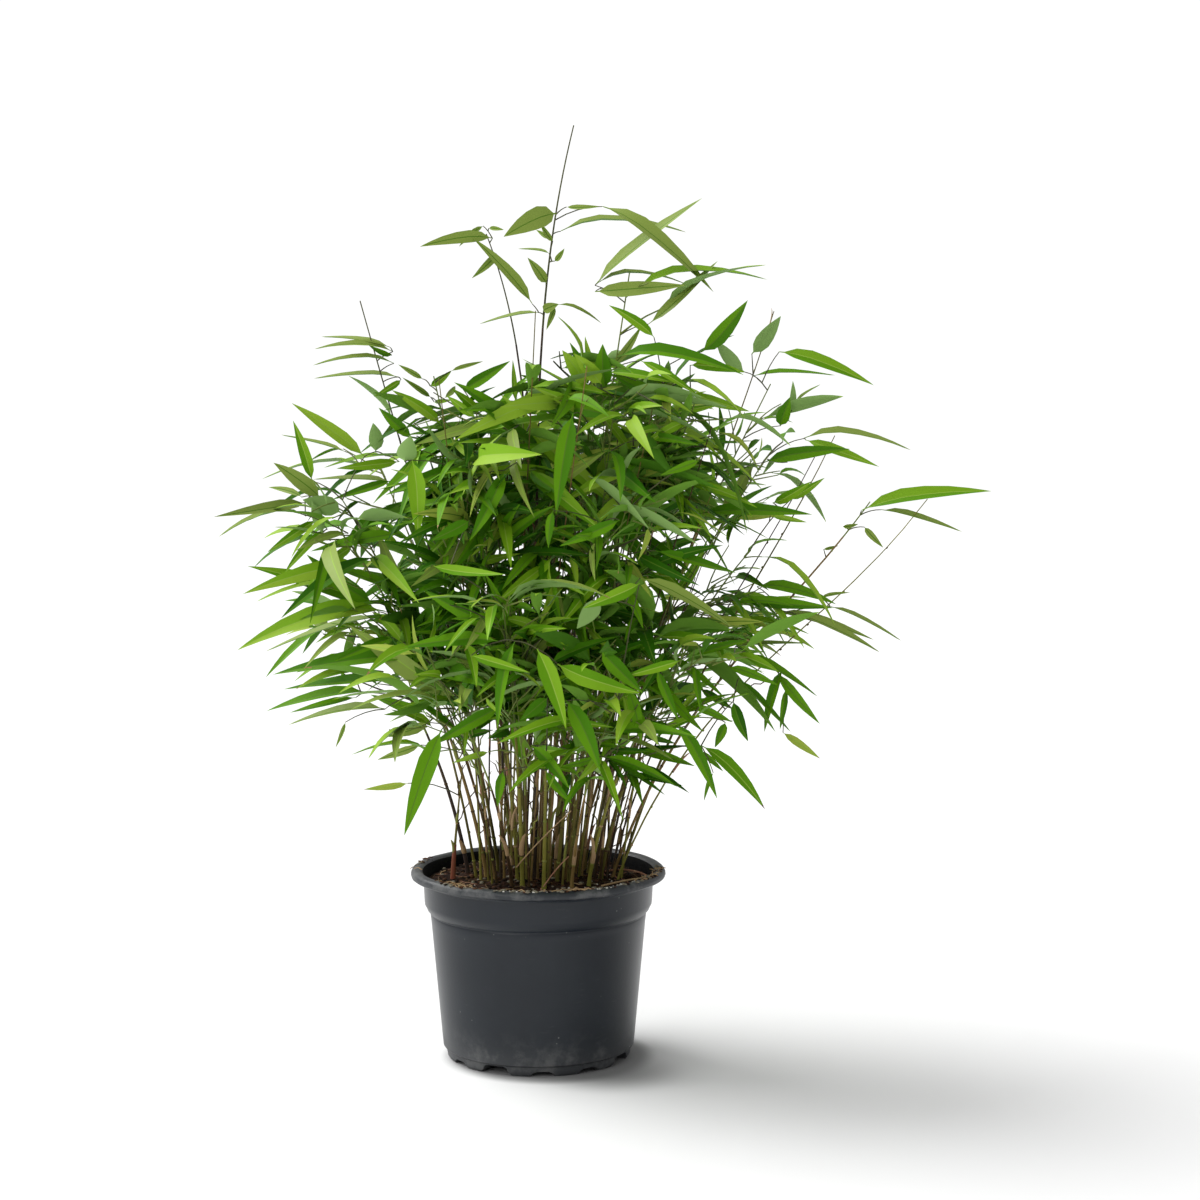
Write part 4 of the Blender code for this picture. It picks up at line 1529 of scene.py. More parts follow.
@dataclass
class Leaves:
    """Many leaf blades in one piece, each a thin closed blade with a rib along its middle."""

    name: str
    form: BladeForm
    rows: list[tuple[Leaf, float, float, float, tuple[int, ...]]] = field(
        default_factory=list
    )

    def add(
        self, leaf: Leaf, rng: random.Random, tones: tuple[int, ...], free: float = 1.0
    ) -> None:
        """Adds a leaf, with its own droop, sickle and twist.

        Args:
            leaf: the leaf by the rule.
            rng: seeded numbers.
            tones: the tones of its upper side, back, rib and tip.
            free: how freely it droops and twists, from 0 to 1.
        """
        form = self.form
        slack = free * min(1.0, leaf.length / 0.08)
        sag = rng.uniform(*form.sag) * slack
        twist = free * rng.uniform(*form.twist)
        upper, *others = tones
        # One half of the fold is painted a tone deeper, as painted shade on one half of the fold.
        halves = [upper, max(upper - 1, 0) if upper < 5 and rng.random() < form.shaded else upper]
        rng.shuffle(halves)
        tones = (halves[0], *others, halves[1])
        self.rows.append((leaf, sag, rng.uniform(*form.sickle), twist, tones))

    def sections(self) -> np.ndarray:
        """Every blade's points: its root, five round each section, and its tip.

        Returns:
            An array of blades by points by three.
        """
        form = self.form
        t = np.array([0.0, *form.stations, 1.0])
        leaves = [row[0] for row in self.rows]
        root = np.array([leaf.root for leaf in leaves])[:, None]
        along = np.array([leaf.along.normalized() for leaf in leaves])[:, None]
        up = np.array([across(leaf.along.normalized(), leaf.up) for leaf in leaves])[:, None]
        side = np.cross(along, up)
        length = np.array([leaf.length for leaf in leaves])[:, None, None]
        width = np.array([leaf.width for leaf in leaves])[:, None, None]
        arch = np.array([leaf.arch for leaf in leaves])[:, None, None]
        sag, sickle, twist = (
            np.array([row[k] for row in self.rows])[:, None, None] for k in (1, 2, 3)
        )
        t3 = t[None, :, None]
        hump = form.hump(t)[None, :, None]
        middle = root + length * (t3 * along + 1.35 * arch * hump * up)
        middle = middle + length * sickle * hump * side
        middle[..., 2:] -= length * sag * t3**2.2
        ahead = middle[:, 2:] - middle[:, :-2]
        ahead /= np.linalg.norm(ahead, axis=-1, keepdims=True)
        turn = twist * (t3[:, 1:-1] - 0.25)
        over = np.cos(turn) * up + np.sin(turn) * side
        over = over - (over * ahead).sum(-1, keepdims=True) * ahead
        over /= np.linalg.norm(over, axis=-1, keepdims=True)
        beside = np.cross(ahead, over)
        half = 0.5 * width * np.array(form.breadths)[None, :, None]
        rise = form.fold * half * (1.0 - 0.45 * t3[:, 1:-1])
        rib = np.minimum(form.rib, 0.25 * half)
        centre = middle[:, 1:-1]
        keel = np.minimum(form.keel, 0.5 * half + 0.00015)
        ring = np.stack(
            [
                centre + half * beside + rise * over,
                centre + rib * beside,
                centre - rib * beside,
                centre - half * beside + rise * over,
                centre - keel * over,
            ],
            axis=2,
        )
        count = len(leaves)
        rings = ring.reshape(count, -1, 3)
        return np.concatenate([middle[:, :1], rings, middle[:, -1:]], axis=1)

    def pattern(self) -> tuple[list[tuple[int, ...]], list[int]]:
        """The faces of one blade, and which part of the leaf each belongs to.

        Returns:
            The faces, and 0 and 4 for the upper halves, 1 for the back, 2 the rib and 3 the tip.
        """
        parts = (0, 2, 4, 1, 1)
        faces: list[tuple[int, ...]] = []
        roles: list[int] = []
        rings = len(self.form.stations)
        last = 1 + 5 * rings
        for k in range(5):
            after = (k + 1) % 5
            faces.append((0, 1 + k, 1 + after))
            roles.append(parts[k])
            for ring in range(rings - 1):
                low, high = 1 + 5 * ring, 6 + 5 * ring
                quad = (low + k, high + k, high + after, low + after)
                # The two faces over and under each half split along the same line.
                faces.append((quad[3], *quad[:3]) if k in (2, 4) else quad)
                roles.append(parts[k])
            faces.append((last - 5 + k, last, last - 5 + after))
            roles.append(3)
        return faces, roles

    def mesh(self) -> bpy.types.Mesh:
        """Joins every blade.

        Returns:
            The joined mesh, with a green for each leaf.
        """
        points = self.sections()
        faces, roles = self.pattern()
        size = points.shape[1]
        index = [tuple(size * n + i for i in face) for n in range(len(self.rows)) for face in faces]
        mesh = bpy.data.meshes.new(self.name)
        mesh.from_pydata(points.reshape(-1, 3).tolist(), [], index)
        tones = np.array([row[4] for row in self.rows])
        mesh.polygons.foreach_set("material_index", tones[:, roles].astype(np.int32).ravel())
        for tone in LeafTone:
            mesh.materials.append(bpy.data.materials.get(tone.value.name) or tone.value.make())
        mesh.shade_smooth()
        mesh.set_sharp_from_angle(angle=math.radians(62))
        return mesh


LEAF_TONES = list(LeafTone)


@dataclass(frozen=True)
class Greens:
    """How a spray takes its green: paler the farther it is from the middle of the crown, as painted
    shade inside and painted light at the edge.
    """

    centre: Vector = Vector((0.02, 0.02, 0.43))
    reach: Vector = Vector((0.26, 0.24, 0.22))
    scale: tuple = (LeafTone.DEEP, LeafTone.SHADE, LeafTone.MID, LeafTone.FRESH, LeafTone.BRIGHT)
    backs: tuple = (
        LeafTone.BACK_DEEP, LeafTone.BACK_DEEP, LeafTone.BACK, LeafTone.BACK, LeafTone.BACK_PALE
    )
    olive_share: float = 0.16
    yellow_share: float = 0.05
    young_yellow_share: float = 0.25
    dry_tips: float = 0.05

    def depth(self, point: Vector) -> float:
        """How far out a point lies: 0 in the middle of the crown and 1 at its edge."""
        away = point - self.centre
        return Vector((away[k] / self.reach[k] for k in range(3))).length

    def spray_tone(self, point: Vector, rng: random.Random) -> int:
        """The place in the scale of the green of a spray at a point."""
        level = 4.2 * self.depth(point) ** 1.2 - 0.3 + rng.gauss(0.0, 0.95)
        return min(max(round(level), 0), len(self.scale) - 1)

    def leaf_tones(self, level: int, young: bool, rng: random.Random) -> tuple[int, ...]:
        """The four tones of one leaf.

        Args:
            level: the spray's green.
            young: whether it is a small young leaf.
            rng: seeded numbers.

        Returns:
            The tones of its upper side, back, rib and tip.
        """
        own = min(max(level + rng.choice((-1, 0, 0, 0, 1)), 0), len(self.scale) - 1)
        upper = self.scale[own]
        if own >= 3 and rng.random() < self.olive_share:
            upper = LeafTone.OLIVE
        if own >= 2 and rng.random() < (self.young_yellow_share if young else self.yellow_share):
            upper = LeafTone.YELLOW
        rib = LeafTone.RIB_DEEP if own < 3 else LeafTone.RIB
        tip = LeafTone.DRY if rng.random() < self.dry_tips else upper
        return tuple(LEAF_TONES.index(tone) for tone in (upper, self.backs[own], rib, tip))


# Sub-assemblies -----------------------------------------------------------------------------


@dataclass
class Pot:
    """The nursery pot: notched foot ring, thin wall, shoulder, collar and rolled lip."""

    height: float = 0.168
    rim_radius: float = 0.113
    lip_height: float = 0.0065
    lip_inner_radius: float = 0.1050
    collar_radius: float = 0.1021
    collar_foot_radius: float = 0.1008
    shoulder_top: float = 0.137
    shoulder_foot: float = 0.129
    wall_top_radius: float = 0.0958
    wall_foot_radius: float = 0.0849
    wall: float = 0.0016
    foot_height: float = 0.0095
    foot_radius: float = 0.0818
    foot_ring_inner: float = 0.060
    ring_height: float = 0.0112
    floor: float = 0.0022
    steps: int = 192
    notch_pitch: float = 30.0
    first_notch: float = 63.75
    deep_notch: float = 0.0078
    shallow_notch: float = 0.0046
    deep_half_angle: float = 10.0
    shallow_half_angle: float = 7.2
    wall_points: int = 14
    # How far the lip's top sinks, as a length, and its rim and wall draw in, as a share.
    lip_sag: float = 0.0007
    lip_waver: float = 0.004

    def inner_radius(self, height: float) -> float:
        """The radius of the inner wall at a height, by the same slopes as the outside.

        Args:
            height: the height above the ground.

        Returns:
            The radius.
        """
        if height >= self.shoulder_top:
            rise = (height - self.shoulder_top) / (self.height - self.shoulder_top)
            slope = self.collar_radius - self.collar_foot_radius
            return self.collar_foot_radius - self.wall + rise * slope
        rise = (height - self.foot_height) / (self.shoulder_foot - self.foot_height)
        slope = self.wall_top_radius - self.wall_foot_radius
        return self.wall_foot_radius - self.wall + min(rise, 1.0) * slope

    def profile(self) -> list[tuple[float, float]]:
        """The section, from the middle of the underside out, up, over the lip and back in.

        Returns:
            Points of radius and height.
        """
        lip_foot = self.height - self.lip_height
        foot, rim, lip = self.foot_radius, self.rim_radius, self.lip_inner_radius
        ring, wall_foot = self.foot_ring_inner, self.wall_foot_radius
        wall_top = self.wall_top_radius
        low, collar_foot, collar = self.foot_height, self.collar_foot_radius, self.collar_radius
        shoulder, shoulder_top, top = self.shoulder_foot, self.shoulder_top, self.height
        points = [
            (0.0, 0.0005),
            (0.030, 0.0003),
            (ring, 0.0),
            (0.5 * (ring + foot), 0.0),
            (foot - 0.0030, 0.0),
            (foot - 0.0012, 0.0006),
            (foot - 0.0002, 0.0020),
            (foot + 0.0001, 0.0050),
            (foot + 0.0002, low - 0.0012),
            (wall_foot - 0.0012, low - 0.0003),
            (wall_foot, low + 0.0008),
        ]
        for k in range(1, self.wall_points):
            share = k / self.wall_points
            radius = wall_foot + share * (wall_top - wall_foot)
            points.append((radius, low + share * (shoulder - low)))
        points += [
            (wall_top, shoulder - 0.0022),
            (wall_top - 0.0005, shoulder - 0.0008),
            (wall_top - 0.0002, shoulder + 0.0004),
            (wall_top + 0.0028, shoulder + 0.0030),
            (collar_foot - 0.0012, shoulder_top - 0.0024),
            (collar_foot - 0.0001, shoulder_top - 0.0006),
            (collar_foot + 0.0002, shoulder_top + 0.0016),
            (collar - 0.0006, 0.5 * (shoulder_top + lip_foot)),
            (collar, lip_foot - 0.0048),
            (collar + 0.0012, lip_foot - 0.0032),
            (rim - 0.0052, lip_foot - 0.0016),
            (rim - 0.0018, lip_foot - 0.0010),
            (rim - 0.0004, lip_foot),
            (rim, lip_foot + 0.0014),
            (rim - 0.0002, lip_foot + 0.0032),
            (rim - 0.0010, top - 0.0016),
            (rim - 0.0024, top - 0.0005),
            (rim - 0.0042, top),
            (lip + 0.0014, top - 0.0001),
            (lip - 0.0004, top - 0.0007),
            (lip - 0.0022, top - 0.0024),
            (self.inner_radius(top - 0.006) + 0.0012, top - 0.0050),
            (self.inner_radius(top - 0.008), top - 0.0090),
            (self.inner_radius(shoulder_top), shoulder_top),
            (self.inner_radius(shoulder), shoulder),
            (self.inner_radius(self.ring_height), self.ring_height),
            (ring + 0.0030, self.ring_height),
            (ring - 0.0015, self.floor),
            (0.0, self.floor),
        ]
        return points

    def notch(self, angle: float) -> float:
        """How far the foot ring is raised at an angle round the pot.

        Args:
            angle: the angle, in degrees.

        Returns:
            The rise, or nothing on a foot.
        """
        along = (angle - self.first_notch) % 90.0
        for centre, depth, half in (
            (0.0, self.deep_notch, self.deep_half_angle),
            (90.0, self.deep_notch, self.deep_half_angle),
            (self.notch_pitch, self.shallow_notch, self.shallow_half_angle),
            (2 * self.notch_pitch, self.shallow_notch, self.shallow_half_angle),
        ):
            off = abs(along - centre) / half
            if off < 1.0:
                return depth * min(1.0, 3.2 * (1.0 - off)) ** 0.8
        return 0.0

    def shape(self, point: Vector) -> None:
        """Raises the notches in the foot ring, and lets the thin lip and wall waver a little.

        Args:
            point: a point of the turned pot, which is moved.
        """
        radius = math.hypot(point.x, point.y)
        angle = math.degrees(math.atan2(point.y, point.x))
        if self.foot_ring_inner + 0.001 < radius < self.wall_foot_radius - 0.0014:
            if point.z < self.foot_height - 0.0015:
                point.z = max(point.z, self.notch(angle))
        if point.z > self.height - 0.012 and radius > 0.09:
            turn = Vector((math.cos(math.radians(angle)), math.sin(math.radians(angle)), 0.0))
            waver = noise.noise(turn * 3.1 + Vector((0, 0, 4.2)))
            point.z -= self.lip_sag * max(0.0, waver + 0.25)
            point.xy = point.xy * (1.0 - self.lip_waver * max(0.0, waver))

    def build(self) -> bpy.types.Object:
        """Builds and dresses the pot.

        Returns:
            The piece.
        """
        mesh = turned("nursery_pot", self.profile(), self.steps, self.shape, 30)
        mesh.materials.append(PotPlastic().make())
        # The inner wall takes a near-black matte finish: painted shade, where the wall and the
        # foliage keep the light out.
        inside = Crumb("pot_inside", (0.003, 0.0035, 0.004), (0.008, 0.008, 0.008), 0.08)
        mesh.materials.append(inside.make())
        for face in mesh.polygons:
            inward = face.normal.xy.dot(face.center.xy) < -0.02
            if inward and self.floor < face.center.z < self.height - 0.0022:
                face.material_index = 1
        return placed("nursery_pot", mesh, ["pot"])


@dataclass
class RootBall:
    """The filled root ball: a rough peat top that dips at the wall."""

    pot: Pot
    level: float = 0.1590
    edge_drop: float = 0.0030
    clearance: float = 0.0006
    rings: int = 44
    steps: int = 220
    # Where the top starts to dip towards the wall, over how far, and how much calmer it is there.
    dip_start: float = 0.088
    dip_width: float = 0.012
    calm: float = 0.55

    def relief(self, x: float, y: float) -> float:
        """How far the soil stands over or under its level at a place.

        Args:
            x: the place's x.
            y: the place's y.

        Returns:
            The relief.
        """
        at = Vector((x, y, 0.0))
        broad = noise.noise(at * 26.0 + Vector((3.1, 0.0, 0.0)))
        lumps = noise.turbulence(at * 75.0, 3, False)
        fine = noise.noise(at * 320.0)
        return 0.0018 * broad + 0.0030 * (lumps - 0.45) + 0.0006 * fine

    def height_at(self, x: float, y: float) -> float:
        """The height of the soil at a place.

        Args:
            x: the place's x.
            y: the place's y.

        Returns:
            The height.
        """
        radius = math.hypot(x, y)
        fall = min(max((radius - self.dip_start) / self.dip_width, 0.0), 1.0)
        rough = 1.0 - self.calm * fall
        return self.level - self.edge_drop * fall + rough * self.relief(x, y)

    def shape(self, point: Vector) -> None:
        """Gives the top its relief."""
        if point.z > self.level - 0.5 * self.edge_drop - 0.004:
            point.z = self.height_at(point.x, point.y)

    def build(self) -> bpy.types.Object:
        """Builds and dresses the root ball.

        Returns:
            The piece.
        """
        pot, gap = self.pot, self.clearance
        low = pot.ring_height + gap
        profile = [
            (0.0, pot.floor + 0.0004),
            (pot.foot_ring_inner - 0.0028, pot.floor + 0.0004),
            (pot.foot_ring_inner + 0.0026, low),
        ]
        shoulder = self.level - self.edge_drop - 0.005
        for height in (low, pot.shoulder_foot, pot.shoulder_top, shoulder):
            profile.append((pot.inner_radius(height) - gap, height))
        edge = pot.inner_radius(self.level) - gap
        for k in range(self.rings + 1):
            profile.append((edge * (1 - k / self.rings) ** 0.8, self.level))
        mesh = turned("peat_top", profile, self.steps, self.shape, 60)
        mesh.materials.append(Peat().make())
        return placed("peat_top", mesh, ["root_ball"])


@dataclass
class Litter:
    """What lies on the soil and the lip: crumbs of peat, pale grit, dead straws and husks."""

    pot: Pot
    ball: RootBall
    crumbs: int = 760
    grits: int = 34
    lip_grits: int = 70
    straws: int = 120
    seed: int = 7
    # Each kind's lowest and highest half size.
    crumb_size: tuple = (0.0007, 0.0026)
    grit_size: tuple = (0.0004, 0.0011)
    lip_crumb_size: tuple = (0.0007, 0.0022)
    lip_grit_size: tuple = (0.0005, 0.0012)
    clod_share: float = 0.08
    clod_scale: float = 1.6
    reach: float = 0.0965
    straw_reach: float = 0.0975
    straw_length: tuple = (0.007, 0.032)
    straw_radius: tuple = (0.00018, 0.00055)
    # The lip's flat top, and the radius inside which it already rounds down.
    lip_radii: tuple = (0.1035, 0.1106)
    lip_round: float = 0.1045
    grit_angles: tuple = (-98.0, -84.0, -62.0, -50.0, -34.0)
    # The lip's dirty places: an angle in degrees, its spread, and how many crumbs lie there.
    lip_places: tuple = (
        (-126.0, 7.0, 70), (-74.0, 6.0, 50), (-98.0, 7.0, 26), (-24.0, 14.0, 70), (170.0, 9.0, 14)
    )
    # Long dead straws: points in place, and the radius at their ends.
    fallen: tuple = (
        (((-0.018, -0.044, 0.176), (0.002, -0.064, 0.204), (0.030, -0.080, 0.232)),
         0.0006, 0.0004),
        (((0.006, -0.064, 0.163), (0.018, -0.070, 0.182), (0.028, -0.066, 0.190)),
         0.0006, 0.0004),
        (((-0.020, -0.088, 0.1615), (0.004, -0.090, 0.1635), (0.026, -0.086, 0.1625)),
         0.0011, 0.0008),
        (((0.030, -0.080, 0.161), (0.036, -0.090, 0.1645), (0.044, -0.094, 0.161)),
         0.0010, 0.0006),
        (((0.024, -0.078, 0.161), (0.020, -0.088, 0.166), (0.010, -0.094, 0.1615)),
         0.0009, 0.0006),
        (((0.056, -0.046, 0.160), (0.082, -0.040, 0.1655), (0.100, -0.022, 0.163)),
         0.0009, 0.0006),
        (((0.060, 0.020, 0.160), (0.084, 0.004, 0.167), (0.098, -0.026, 0.164)),
         0.0010, 0.0006),
        (((0.044, -0.070, 0.160), (0.070, -0.066, 0.164), (0.094, -0.046, 0.1615)),
         0.0008, 0.0005),
        (((-0.088, -0.028, 0.160), (-0.076, -0.052, 0.1645), (-0.052, -0.078, 0.1615)),
         0.0008, 0.0005),
        (((-0.070, -0.060, 0.160), (-0.060, -0.082, 0.1690), (-0.066, -0.094, 0.1690)),
         0.0007, 0.0004),
    )

    def spot(self, rng: random.Random, inner: float = 0.0) -> Vector:
        """A seeded place on the soil.

        Args:
            rng: seeded numbers.
            inner: the share of the soil's middle that is left out.

        Returns:
            The place.
        """
        radius = self.reach * math.sqrt(rng.uniform(inner, 1.0))
        turn = rng.uniform(0, math.tau)
        x, y = radius * math.cos(turn), radius * math.sin(turn)
        return Vector((x, y, self.ball.height_at(x, y)))

    def lip_spot(self, rng: random.Random, angle: float, spread: float) -> Vector:
        """A seeded place on top of the lip.

        Args:
            rng: seeded numbers.
            angle: the middle of the dirty place, in degrees.
            spread: its spread, in degrees.

        Returns:
            The place.
        """
        turn = math.radians(angle + rng.gauss(0.0, spread))
        radius = rng.uniform(*self.lip_radii)
        height = self.pot.height - 0.0004 - (0.0012 if radius < self.lip_round else 0.0)
        return Vector((radius * math.cos(turn), radius * math.sin(turn), height))

    def crumb_piece(self) -> bpy.types.Object:
        """Scatters the crumbs and the grit.

        Returns:
            The piece.
        """
        rng = random.Random(self.seed)
        finishes = (
            Crumb("crumb_dark", (0.008, 0.0042, 0.0024), (0.022, 0.011, 0.006)),
            Crumb("crumb_brown", (0.050, 0.021, 0.010), (0.105, 0.048, 0.023)),
            Crumb("crumb_grey", (0.130, 0.115, 0.085), (0.230, 0.205, 0.155)),
            Crumb("crumb_grit", (0.50, 0.48, 0.44), (0.66, 0.64, 0.60)),
        )
        lumps = Lumps("soil_crumbs", finishes)
        for _ in range(self.crumbs):
            size = rng.uniform(*self.crumb_size)
            size *= self.clod_scale if rng.random() < self.clod_share else 1.0
            half = Vector((size * rng.uniform(0.7, 1.6), size, size * rng.uniform(0.4, 0.8)))
            tone = rng.choices((0, 1, 2), (5, 4, 1))[0]
            lumps.add(self.spot(rng) + 0.3 * half.z * UP, half, rng.uniform(0, math.tau), tone)
        for _ in range(self.grits):
            size = rng.uniform(*self.grit_size)
            centre = self.spot(rng) + 0.5 * size * UP
            lumps.add(centre, Vector((size, size, size)), rng.uniform(0, math.tau), 3)
        for angle, spread, count in self.lip_places:
            for _ in range(count):
                size = rng.uniform(*self.lip_crumb_size)
                half = Vector((size * 1.4, size, 0.5 * size))
                tone = rng.choices((0, 1, 2), (2, 3, 5))[0]
                centre = self.lip_spot(rng, angle, spread) + 0.2 * half.z * UP
                lumps.add(centre, half, rng.uniform(0, math.tau), tone)
        for _ in range(self.lip_grits):
            size = rng.uniform(*self.lip_grit_size)
            centre = self.lip_spot(rng, rng.choice(self.grit_angles), 5.0)
            lumps.add(centre, Vector((size, size, 0.6 * size)), 0.0, 3)
        return placed("soil_crumbs", lumps.mesh(), [])

    def straw_piece(self) -> bpy.types.Object:
        """Lays the dead straws and root fibres.

        Returns:
            The piece.
        """
        rng = random.Random(self.seed + 1)
        strands = Strands("soil_straws", [SheathTone.PAPER, SheathTone.PINK, SheathTone.DARK])
        tones = strands.tones
        for points, first, last in self.fallen:
            a, b, c = (Vector(point) for point in points)
            line = [bowed(a, b, c, t) for t in np.linspace(0, 1, 8)]
            tone = SheathTone.PAPER if rng.random() < 0.7 else SheathTone.PINK
            strands.add(line, even_steps(first, last, 8), tone)
        for _ in range(self.straws):
            start = self.spot(rng, 0.25)
            turn = rng.uniform(0, math.tau)
            length = rng.uniform(*self.straw_length)
            bend = rng.uniform(-2.0, 2.0)
            line = []
            for k in range(6):
                line.append(start.copy())
                turn += bend / 6
                start.x += length / 5 * math.cos(turn)
                start.y += length / 5 * math.sin(turn)
                if math.hypot(start.x, start.y) > self.straw_reach:
                    break
                start.z = self.ball.height_at(start.x, start.y) + rng.uniform(0.0002, 0.0014)
            if len(line) > 2:
                size = rng.uniform(*self.straw_radius)
                strands.add(line, [size] * len(line), rng.choices(tones, (2, 2, 8))[0])
        for angle, spread, count in self.lip_places:
            for _ in range(count // 4):
                start = self.lip_spot(rng, angle, spread) + Vector((0, 0, 0.0007))
                turn = math.radians(angle + 90 + rng.uniform(-60, 60))
                ahead = Vector((math.cos(turn), math.sin(turn), 0.0)) * rng.uniform(0.004, 0.010)
                lift = Vector((0, 0, rng.uniform(0.0004, 0.0016)))
                line = [start, start + 0.5 * ahead + lift, start + ahead]
                strands.add(line, [0.00035] * 3, tones[0])
        return placed("soil_straws", strands.mesh(), [])

    def build(self) -> None:
        """Builds all of the litter."""
        self.crumb_piece()
        self.straw_piece()


@dataclass
class Canes:
    """The canes, whole from the soil to the foliage, with their joints and papery sheaths."""

    clump: Clump
    habit: Habit
    canes: Sequence[Cane]
    inner: Sequence[Cane]
    internode: tuple = (0.030, 0.052)
    joint_swell: float = 1.22
    slimness: float = 0.86
    thin_canes: int = 50
    thin_radii: tuple = (0.00085, 0.00145)
    thin_spacing: float = 0.0032
    thin_tops: tuple = (0.30, 0.56)
    thin_spread: tuple = (0.150, 0.135)
    far_radius: float = 0.0011
    # How many points of each line the spacing is measured from.
    samples: int = 24
    # Bare shoots that stand out on the right, and others in front: foot, tip and arch.
    far_shoots: tuple = (
        ((0.070, -0.008), (0.343, 0.010, 0.494), 0.10),
        ((0.064, 0.020), (0.248, 0.060, 0.530), 0.08),
        ((-0.024, -0.020), (0.002, -0.135, 0.655), 0.12),
        ((-0.006, -0.024), (0.044, -0.140, 0.610), 0.12),
        ((0.026, -0.020), (0.098, -0.120, 0.575), 0.12),
        ((-0.044, -0.010), (-0.078, -0.125, 0.600), 0.12),
        ((0.050, -0.012), (0.148, -0.100, 0.560), 0.12),
    )
    seed: int = 21

    def tone_of(self, cane: Cane, rng: random.Random) -> CaneTone:
        """The colour of a cane: its own, or one drawn from the common ones.

        Args:
            cane: the cane.
            rng: seeded numbers.

        Returns:
            The colour.
        """
        named = {
            "cane_bare_red": CaneTone.OLIVE,
            "cane_bare_front": CaneTone.LIME,
            "cane_tall": CaneTone.PURPLE,
            "cane_bare_right": CaneTone.OLIVE,
            "cane_bare_left": CaneTone.OLIVE,
            "cane_left_high": CaneTone.PURPLE,
        }
        weights = (6, 4, 4, 4, 2)
        tones = (CaneTone.OLIVE, CaneTone.LIME, CaneTone.STRAW, CaneTone.BROWN, CaneTone.PURPLE)
        picked = rng.choices(tones, weights)[0]
        return named.get(cane.name, picked)

    def thin_shoots(self) -> list[Cane]:
        """More canes, thinner, that the clump sends up between the others.

        Returns:
            The thin canes.
        """
        rng = random.Random(self.seed)
        clump = self.clump
        standing = [*self.canes, *self.inner]
        lines = [cane.line(0.0, 1.0, self.samples) for cane in standing]
        thin = [
            clump.bare_cane(f"far_{k}", foot, tip, arch, self.far_radius)
            for k, (foot, tip, arch) in enumerate(self.far_shoots)
        ]
        lines += [cane.line(0.0, 1.0, self.samples) for cane in thin]
        for number in range(40 * self.thin_canes):
            if len(thin) >= self.thin_canes:
                break
            turn = rng.uniform(0, math.tau)
            spread = math.sqrt(rng.uniform(0.05, 1.15))
            level = Vector((math.cos(turn), max(math.sin(turn), -0.35)))
            offset = spread * Vector((clump.half.x * level.x, clump.half.y * level.y))
            foot = Vector((*(clump.centre.xy + offset), clump.ground))
            reach = spread * rng.uniform(0.35, 1.0)
            top = rng.uniform(*self.thin_tops)
            wide, deep = self.thin_spread
            tip = Vector(
                (
                    clump.head_centre.x + wide * reach * level.x,
                    clump.head_centre.y + deep * reach * level.y,
                    top,
                )
            )
            radius, arch = rng.uniform(*self.thin_radii), rng.uniform(0.1, 0.4)
            cane = clump.bare_cane(f"thin_{number}", tuple(foot.xy), tuple(tip), arch, radius)
            line = cane.line(0.0, 1.0, self.samples)
            if distances(np.array(line), segments_of(lines)).min() > self.thin_spacing:
                thin.append(cane)
                lines.append(line)
        return thin

    def joints(self, cane: Cane, end: float, rng: random.Random) -> list[float]:
        """Where a cane's joints are.

        Args:
            cane: the cane.
            end: the share of the cane where its drawn part ends.
            rng: seeded numbers.

        Returns:
            The joints' shares of the cane's line.
        """
        length = (cane.tip - cane.foot).length * 1.04
        found, at = [], rng.uniform(0.010, 0.028)
        while at < length * end - 0.012:
            found.append(at / length)
            at += rng.uniform(*self.internode) * (0.6 + 0.6 * min(1.0, at / 0.1))
        return found

    def add_cane(self, cane: Cane, strands: Strands, trim: Strands, rng: random.Random) -> None:
        """Adds one cane to the canes' piece, and its joints and sheaths to the sheaths' piece.

        Args:
            cane: the cane.
            strands: the canes' piece.
            trim: the piece of the joints and sheaths.
            rng: seeded numbers.
        """
        end = cane.leafy_from if cane.nodes else 1.0
        tip_radius = cane.radius * self.habit.cane_taper if cane.nodes else 0.0005
        joints = self.joints(cane, end, rng)
        shares = sorted({0.0, 0.012, *np.linspace(0.03, end, 14), *joints})
        sway = level_hint(rng) * 0.0012
        line, radii = [], []
        for share in shares:
            point = self.clump.shown(cane, share)
            point += sway * math.sin(math.pi * share / end) * (not cane.nodes)
            radius = self.slimness * (cane.radius + (tip_radius - cane.radius) * share / end)
            if share == 0.0:
                point.z -= 0.004
                radius *= self.habit.foot_swell
            line.append(point)
            radii.append(radius)
        strands.add(line, radii, self.tone_of(cane, rng))
        for share in joints:
            radius = self.slimness * (cane.radius + (tip_radius - cane.radius) * share / end)
            self.add_joint(cane, share, radius, trim, rng)

